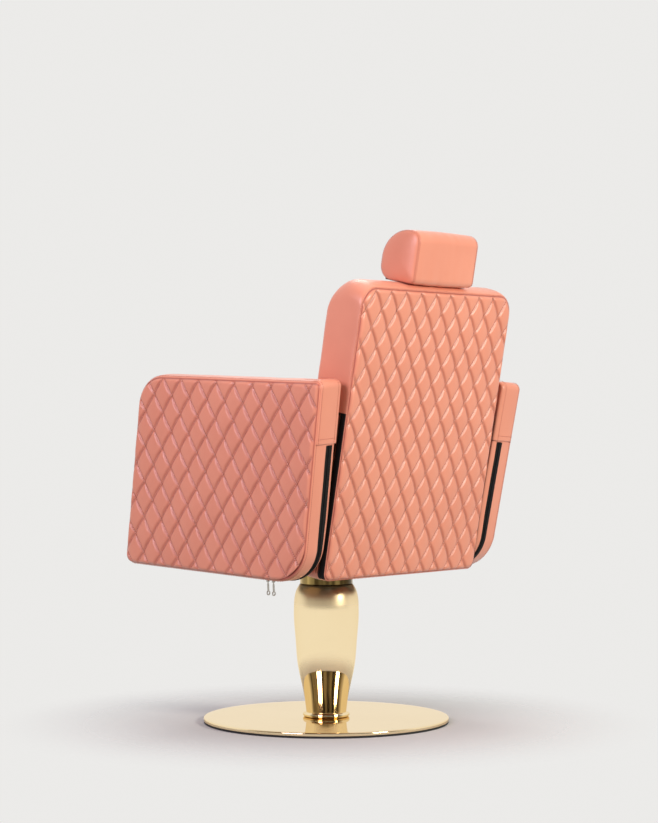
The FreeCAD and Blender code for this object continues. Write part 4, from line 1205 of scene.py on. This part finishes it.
def inflated(obj):
    """Swells a closed pad with cloth under air pressure, no point moving further than CLOTH_REACH."""
    start = mesh_points(obj.data)
    held = obj.vertex_groups.new(name="held")
    low = start[:, 2].min() + 0.004
    held.add([int(i) for i in np.nonzero(start[:, 2] < low)[0]], 1.0, "REPLACE")
    settings = obj.modifiers.new("cloth", "CLOTH").settings
    settings.use_pressure = True
    settings.uniform_pressure_force = CLOTH_PRESSURE
    settings.effector_weights.gravity = 0
    settings.vertex_group_mass = "held"
    settings.tension_stiffness = 40
    settings.compression_stiffness = 40
    settings.bending_stiffness = 4
    scene = bpy.context.scene
    for frame_number in range(1, CLOTH_FRAMES + 1):
        scene.frame_set(frame_number)
    made = evaluated_mesh(obj)
    move = mesh_points(made) - start
    length = np.linalg.norm(move, axis=1)
    length[length == 0] = 1
    move *= np.minimum(1, CLOTH_REACH / length)[:, None]
    made.vertices.foreach_set("co", (start + move).ravel())
    obj.modifiers.clear()
    obj.data = made
    scene.frame_set(1)


def smoothed(obj, turns, levels):
    smooth = obj.modifiers.new("smooth", "SMOOTH")
    smooth.iterations = turns
    smooth.factor = 0.5
    if levels:
        finer = obj.modifiers.new("finer", "SUBSURF")
        finer.levels = levels
        finer.render_levels = levels
    apply_modifiers(obj)


def seat_pad():
    obj = add_object("seat_pad", seat_shell())
    voxel_remesh(obj, FINE_VOXEL)
    inflated(obj)
    smoothed(obj, 4, 1)
    points = mesh_points(obj.data)
    limit = np.array([seat_half_width(z) + 0.0045 for z in points[:, 2]])
    points[:, 0] = np.clip(points[:, 0], -limit, limit)
    points[:, 1] = np.minimum(points[:, 1], np.array([seat_rear(z) + 0.002 for z in points[:, 2]]))
    points[:, 2] = np.clip(points[:, 2], SEAT_LOW + 0.0003, SEAT_TOP + 0.006)
    top = np.clip((points[:, 2] - 0.50) / 0.03, 0, 1)
    crease = np.array([noise.noise(Vector((x * 9, y * 9, 2.0))) for x, y, _ in points])
    points[:, 2] += top * 0.0016 * crease
    obj.data.vertices.foreach_set("co", points.ravel())
    tidy_mesh(obj.data)
    obj.data.materials.clear()
    obj.data.materials.append(MATERIALS["leather"])
    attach(obj, "seat")
    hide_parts("seat_cushion")


def seat_apron():
    """The padded fascia under the seat's front edge, and a thin black board behind it that darkens the gap
    there as painted shade.
    """
    low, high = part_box("seat_front_apron")
    half = high[0]
    rear = high[1] - 0.0016
    path, _ = rounded_path([(low[1], low[2]), (rear, low[2]), (rear, high[2]), (low[1], high[2])],
                           [0.004] * 4, 0.0015)
    centre = path.mean(axis=0)
    rings = [(x - half, centre + (path - centre) * share)
             for x, share in ((0.0, 0.4), (0.0, 0.8), (0.0012, 0.95), (0.004, 1.0))]
    middle = [(x, path) for x in np.linspace(-half + 0.03, half - 0.03, 24)]
    mirrored = [(-x, ring) for x, ring in reversed(rings)]
    stack = [np.column_stack([np.full(len(ring), x), ring]) for x, ring in rings + middle + mirrored]
    vertices, faces = ring_loft(stack, np.asarray)
    obj = finished("seat_apron", vertices, faces, "seat", "leather")
    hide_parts("seat_front_apron")
    xs = np.arange(-half + 0.01, half - 0.01, 0.004)
    paths = []
    for height in (low[2] + 0.006, high[2] - 0.006):
        line = np.array([(x, low[1] - 0.0002, height) for x in xs])
        paths.append((line, np.tile((0.0, -1.0, 0.0), (len(xs), 1))))
    stitch_rows("seat_apron_stitches", paths, "seat")
    corners = [(x, y, z) for x in (0.004 - half, half - 0.004) for y in (rear - 0.0004, high[1])
               for z in (low[2] + 0.0015, high[2] - 0.0015)]
    # A black board whose dark colour is painted shade for the gap behind the apron.
    finished("seat_apron_shade_board", corners, BOX_FACES, "seat", "plastic", smooth=False)


seat_pad()
seat_apron()


# Gold column and base

def turned(name, outline, node, body, segments=256, finish="gold"):
    """A closed outline of (radius, height) pairs turned about the column's axis."""
    vertices = []
    for segment in range(segments):
        angle = 2 * math.pi * segment / segments
        for radius, height in outline:
            vertices.append((radius * math.cos(angle), radius * math.sin(angle), height))
    faces = sweep_faces(segments, len(outline), True, True)
    obj = finished(name, vertices, faces, body, finish)
    obj.data.set_sharp_from_angle(angle=math.radians(40))
    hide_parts(node)
    return obj


def smooth_curve(points, count):
    """A natural cubic through a few points, as the column cover's own profile runs."""
    points = np.array(points, float)
    steps = np.linalg.norm(np.diff(points, axis=0), axis=1)
    knots = np.concatenate([[0], np.cumsum(steps)])
    size = len(points)
    matrix = np.eye(size)
    right = np.zeros((size, 2))
    for i in range(1, size - 1):
        before, after = steps[i - 1], steps[i]
        matrix[i, i - 1:i + 2] = before, 2 * (before + after), after
        right[i] = 6 * ((points[i + 1] - points[i]) / after - (points[i] - points[i - 1]) / before)
    bend = np.linalg.solve(matrix, right)
    curve = []
    for t in np.linspace(0, knots[-1], count):
        i = min(int(np.searchsorted(knots, t, side="right")) - 1, size - 2)
        width = steps[i]
        a, b = (knots[i + 1] - t) / width, (t - knots[i]) / width
        value = a * points[i] + b * points[i + 1]
        curve.append(value + ((a ** 3 - a) * bend[i] + (b ** 3 - b) * bend[i + 1]) * width * width / 6)
    return np.array(curve)


def column_pieces():
    knots = [(VASE_RADIUS * radius, RING_TOP + VASE_HEIGHT * height)
             for height, radius in zip(VASE_HEIGHT_SHARES, VASE_RADIUS_SHARES)]
    outer = smooth_curve(knots, 72)
    lip = (outer[-1][0] - VASE_WALL * 0.3, outer[-1][1] + 0.0002)
    inner = [(radius - VASE_WALL, height) for radius, height in outer[::-1]]
    shell = turned("column_cover", [*map(tuple, outer), lip, *inner], "vase_shroud", "base",
                   finish="cover_gold")
    cut_pedal_slot(shell)
    inside = VASE_RADIUS * VASE_RADIUS_SHARES[0] - VASE_WALL
    foot = [(inside, DISC_TOP + 0.0001)]
    for angle in np.linspace(-math.pi / 2, math.pi / 2, 28):
        foot.append((RING_RADIUS - RING_ROLL + RING_ROLL * math.cos(angle),
                     (DISC_TOP + RING_TOP) / 2 + RING_ROLL * math.sin(angle)))
    foot.append((inside, RING_TOP))
    turned("column_foot_bead", foot, "shroud_foot_ring", "base")
    bevelled = COLLAR_RADIUS - COLLAR_CHAMFER
    bore = COLLAR_RADIUS - COLLAR_WALL
    turned("seat_collar", [(bevelled, COLLAR_LOW), (COLLAR_RADIUS, COLLAR_LOW + COLLAR_CHAMFER),
                           (COLLAR_RADIUS, PLATE_LOW - COLLAR_CHAMFER), (bevelled, PLATE_LOW),
                           (bore, PLATE_LOW), (bore, COLLAR_LOW)], "top_collar", "seat",
           finish="shaded_gold")


def cut_pedal_slot(shell):
    """Cuts the pedal's slot through the column cover, opposite the camera."""
    along = Vector((math.cos(PEDAL_HEADING), math.sin(PEDAL_HEADING), 0))
    across = Vector((-math.sin(PEDAL_HEADING), math.cos(PEDAL_HEADING), 0))
    cut_box(shell, "slot", [along * reach + across * side + Vector((0, 0, height))
                            for reach in (0.026, 0.090) for side in (-0.010, 0.010)
                            for height in (0.0435, 0.0695)])


def disc_cover():
    """The round base: flat top, bright rounded rim and a straight edge over the rubber."""
    outline = [(DISC_RADIUS, DISC_LOW)]
    for angle in np.linspace(0, math.pi / 2, 10):
        outline.append((DISC_RADIUS - DISC_RIM + DISC_RIM * math.cos(angle),
                        DISC_TOP - DISC_RIM + DISC_RIM * math.sin(angle)))
    under = DISC_TOP - 0.0025
    outline += [(radius, DISC_TOP) for radius in (DISC_RADIUS - 0.020, 0.150, 0.070, DISC_HOLE)]
    outline += [(DISC_HOLE, under), (0.271, under), (0.271, DISC_LOW)]
    turned("base_disc", outline, "base_disc_cover", "base", 360)


column_pieces()
disc_cover()


# CAD pieces that keep their own shapes

NODE_FINISHES = {
    "rubber": ["base_floor_pad"],
    "painted": ["base_weight_plate", "pump_flange", "pump_cylinder", "pump_gland_cap", "pedal_bracket",
                "swivel_hub", "seat_mount_plate", "seat_rails", "seat_rear_tube", "arm_bars",
                "seat_recliner_link_left", "seat_recliner_link_right", "back_hinge_plates"],
    "steel": ["piston_rod", "pedal_lever", "pedal_pin", "pump_flange_bolts", "mount_bolts",
              "release_shaft", "release_lever", "headrest_posts"],
    "zinc": ["left_zip_slider_front", "left_zip_slider_rear", "right_zip_slider_front",
             "right_zip_slider_rear", "left_zip_pull_front", "left_zip_pull_rear",
             "right_zip_pull_front", "right_zip_pull_rear"],
    "wood": ["seat_board", "back_board", "left_arm_board", "right_arm_board"],
    "plastic": ["pedal_tread", "release_knob", "headrest_board", "headrest_guides"],
}

for node_finish, node_names in NODE_FINISHES.items():
    for node_name in node_names:
        node_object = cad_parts[node_name]
        if not node_object.material_slots:
            node_object.data.materials.append(MATERIALS[node_finish])
        for node_slot in node_object.material_slots:
            node_slot.material = MATERIALS[node_finish]


# Floor, light and camera

def floor():
    size = 40.0
    mesh = plain_mesh("floor", [(-size, -size, 0), (size, -size, 0), (size, size, 0), (-size, size, 0)],
                      [(0, 1, 2, 3)])
    obj = add_object("floor", mesh)
    material, tree, shader = shader_base("pale_floor", Roughness=0.9, Specular_IOR_Level=0.1)
    tint(tree, shader, object_noise(tree, 0.6), [(0.0, (0.56, 0.556, 0.55)), (1.0, (0.58, 0.576, 0.57))])
    reach = add_node(tree, "VectorMath", operation="LENGTH", Vector=object_place(tree))
    mix = add_node(tree, "MixShader")
    clear = add_node(tree, "BsdfTransparent")
    sources = (mapped(tree, reach.outputs["Value"], 0.0, 1.0, 0.22, 0.78, soft=True),
               shader.outputs["BSDF"], clear.outputs["BSDF"])
    for socket, source in zip(mix.inputs, sources):
        tree.links.new(source, socket)
    tree.links.new(mix.outputs["Shader"], tree.nodes["Material Output"].inputs["Surface"])
    mesh.materials.append(material)


def studio_world():
    """White to the camera, soft grey on the chair; mirrors see a white sweep and an unlit studio."""
    world = bpy.data.worlds.new("studio")
    bpy.context.scene.world = world
    world.use_nodes = True
    tree = world.node_tree
    rays = add_node(tree, "LightPath")
    towards = add_node(tree, "TexCoord").outputs["Generated"]
    height = add_node(tree, "SeparateXYZ", Vector=towards).outputs["Z"]
    surround = colour_ramp(tree, mapped(tree, height, 0.0, 1.0, -1.0), [
        (0.0, (0.32, 0.31, 0.32)), (0.48, (0.30, 0.29, 0.30)), (0.62, (0.36, 0.35, 0.37)),
        (1.0, (0.36, 0.36, 0.38))])
    toward = add_node(tree, "VectorMath", operation="DOT_PRODUCT")
    tree.links.new(towards, toward.inputs[0])
    toward.inputs[1].default_value = CAMERA_AWAY
    unlit = computed(tree, "MULTIPLY", mapped(tree, toward.outputs["Value"], 0.0, 1.0, -0.05, 0.25),
                     mapped(tree, height, 0.0, 1.0, 0.02, 0.10))
    level = add_node(tree, "Mapping", Vector=towards, Scale=(1.0, 1.0, 0.0))
    panels = add_node(tree, "TexNoise", Vector=level.outputs["Vector"], Scale=3.2, Detail=1.5)
    studio = colour_ramp(tree, panels.outputs["Fac"], [
        (0.40, (0.015, 0.012, 0.010)), (0.50, (0.06, 0.050, 0.040)), (0.62, (0.26, 0.23, 0.18))])
    mirrored = blend_colours(tree, unlit, (1.0, 0.995, 0.985), studio)
    lit = blend_colours(tree, rays.outputs["Is Glossy Ray"], surround, mirrored)
    mixed = blend_colours(tree, rays.outputs["Is Camera Ray"], lit, (0.836, 0.828, 0.812))
    feed(tree, tree.nodes["Background"].inputs["Color"], mixed)
    tree.nodes["Background"].inputs["Strength"].default_value = 1.0


def photo_camera():
    data = bpy.data.cameras.new("photo_view")
    data.sensor_fit = "VERTICAL"
    data.sensor_height = SENSOR
    data.lens = SENSOR * FOCAL_PIXELS / IMAGE_HEIGHT
    data.shift_x = (IMAGE_WIDTH / 2 - COLUMN_PIXEL) / IMAGE_HEIGHT
    data.shift_y = (HORIZON_PIXEL - IMAGE_HEIGHT / 2) / IMAGE_HEIGHT
    data.clip_end = 100
    camera = add_object("photo_view", data)
    camera.location = CAMERA_AWAY * CAMERA_DISTANCE + Vector((0, 0, CAMERA_HEIGHT))
    camera.rotation_euler = (-CAMERA_AWAY).to_track_quat("-Z", "Y").to_euler()
    bpy.context.scene.camera = camera


def area_light(name, place, size, watts, colour):
    """A square lamp that faces the chair's middle."""
    lamp = bpy.data.lights.new(name, "AREA")
    lamp.shape = "RECTANGLE"
    lamp.size = size
    lamp.size_y = size
    lamp.energy = watts
    lamp.color = colour
    obj = add_object(name, lamp)
    obj.location = place
    obj.rotation_euler = (Vector((0.0, 0.0, 0.6)) - place).to_track_quat("-Z", "Y").to_euler()


def lights():
    right = Vector((0, 0, 1)).cross(CAMERA_AWAY)
    up = Vector((0, 0, 1))
    area_light("key", right * 2.6 + CAMERA_AWAY * 2.0 + up * 1.65, 0.8, 90, (1.0, 0.95, 0.84))
    area_light("fill", -right * 1.57 + CAMERA_AWAY * 2.46 + up * 1.72, 1.0, 51, (1.0, 0.84, 0.98))
    area_light("top", up * 3.4 + right * 0.4, 2.4, 18, (1.0, 1.0, 1.0))
    area_light("front", up * 3.3 - CAMERA_AWAY * 1.9, 1.2, 26, (1.0, 0.97, 0.95))


floor()
studio_world()
photo_camera()
lights()
bpy.context.scene.view_settings.view_transform = "Standard"
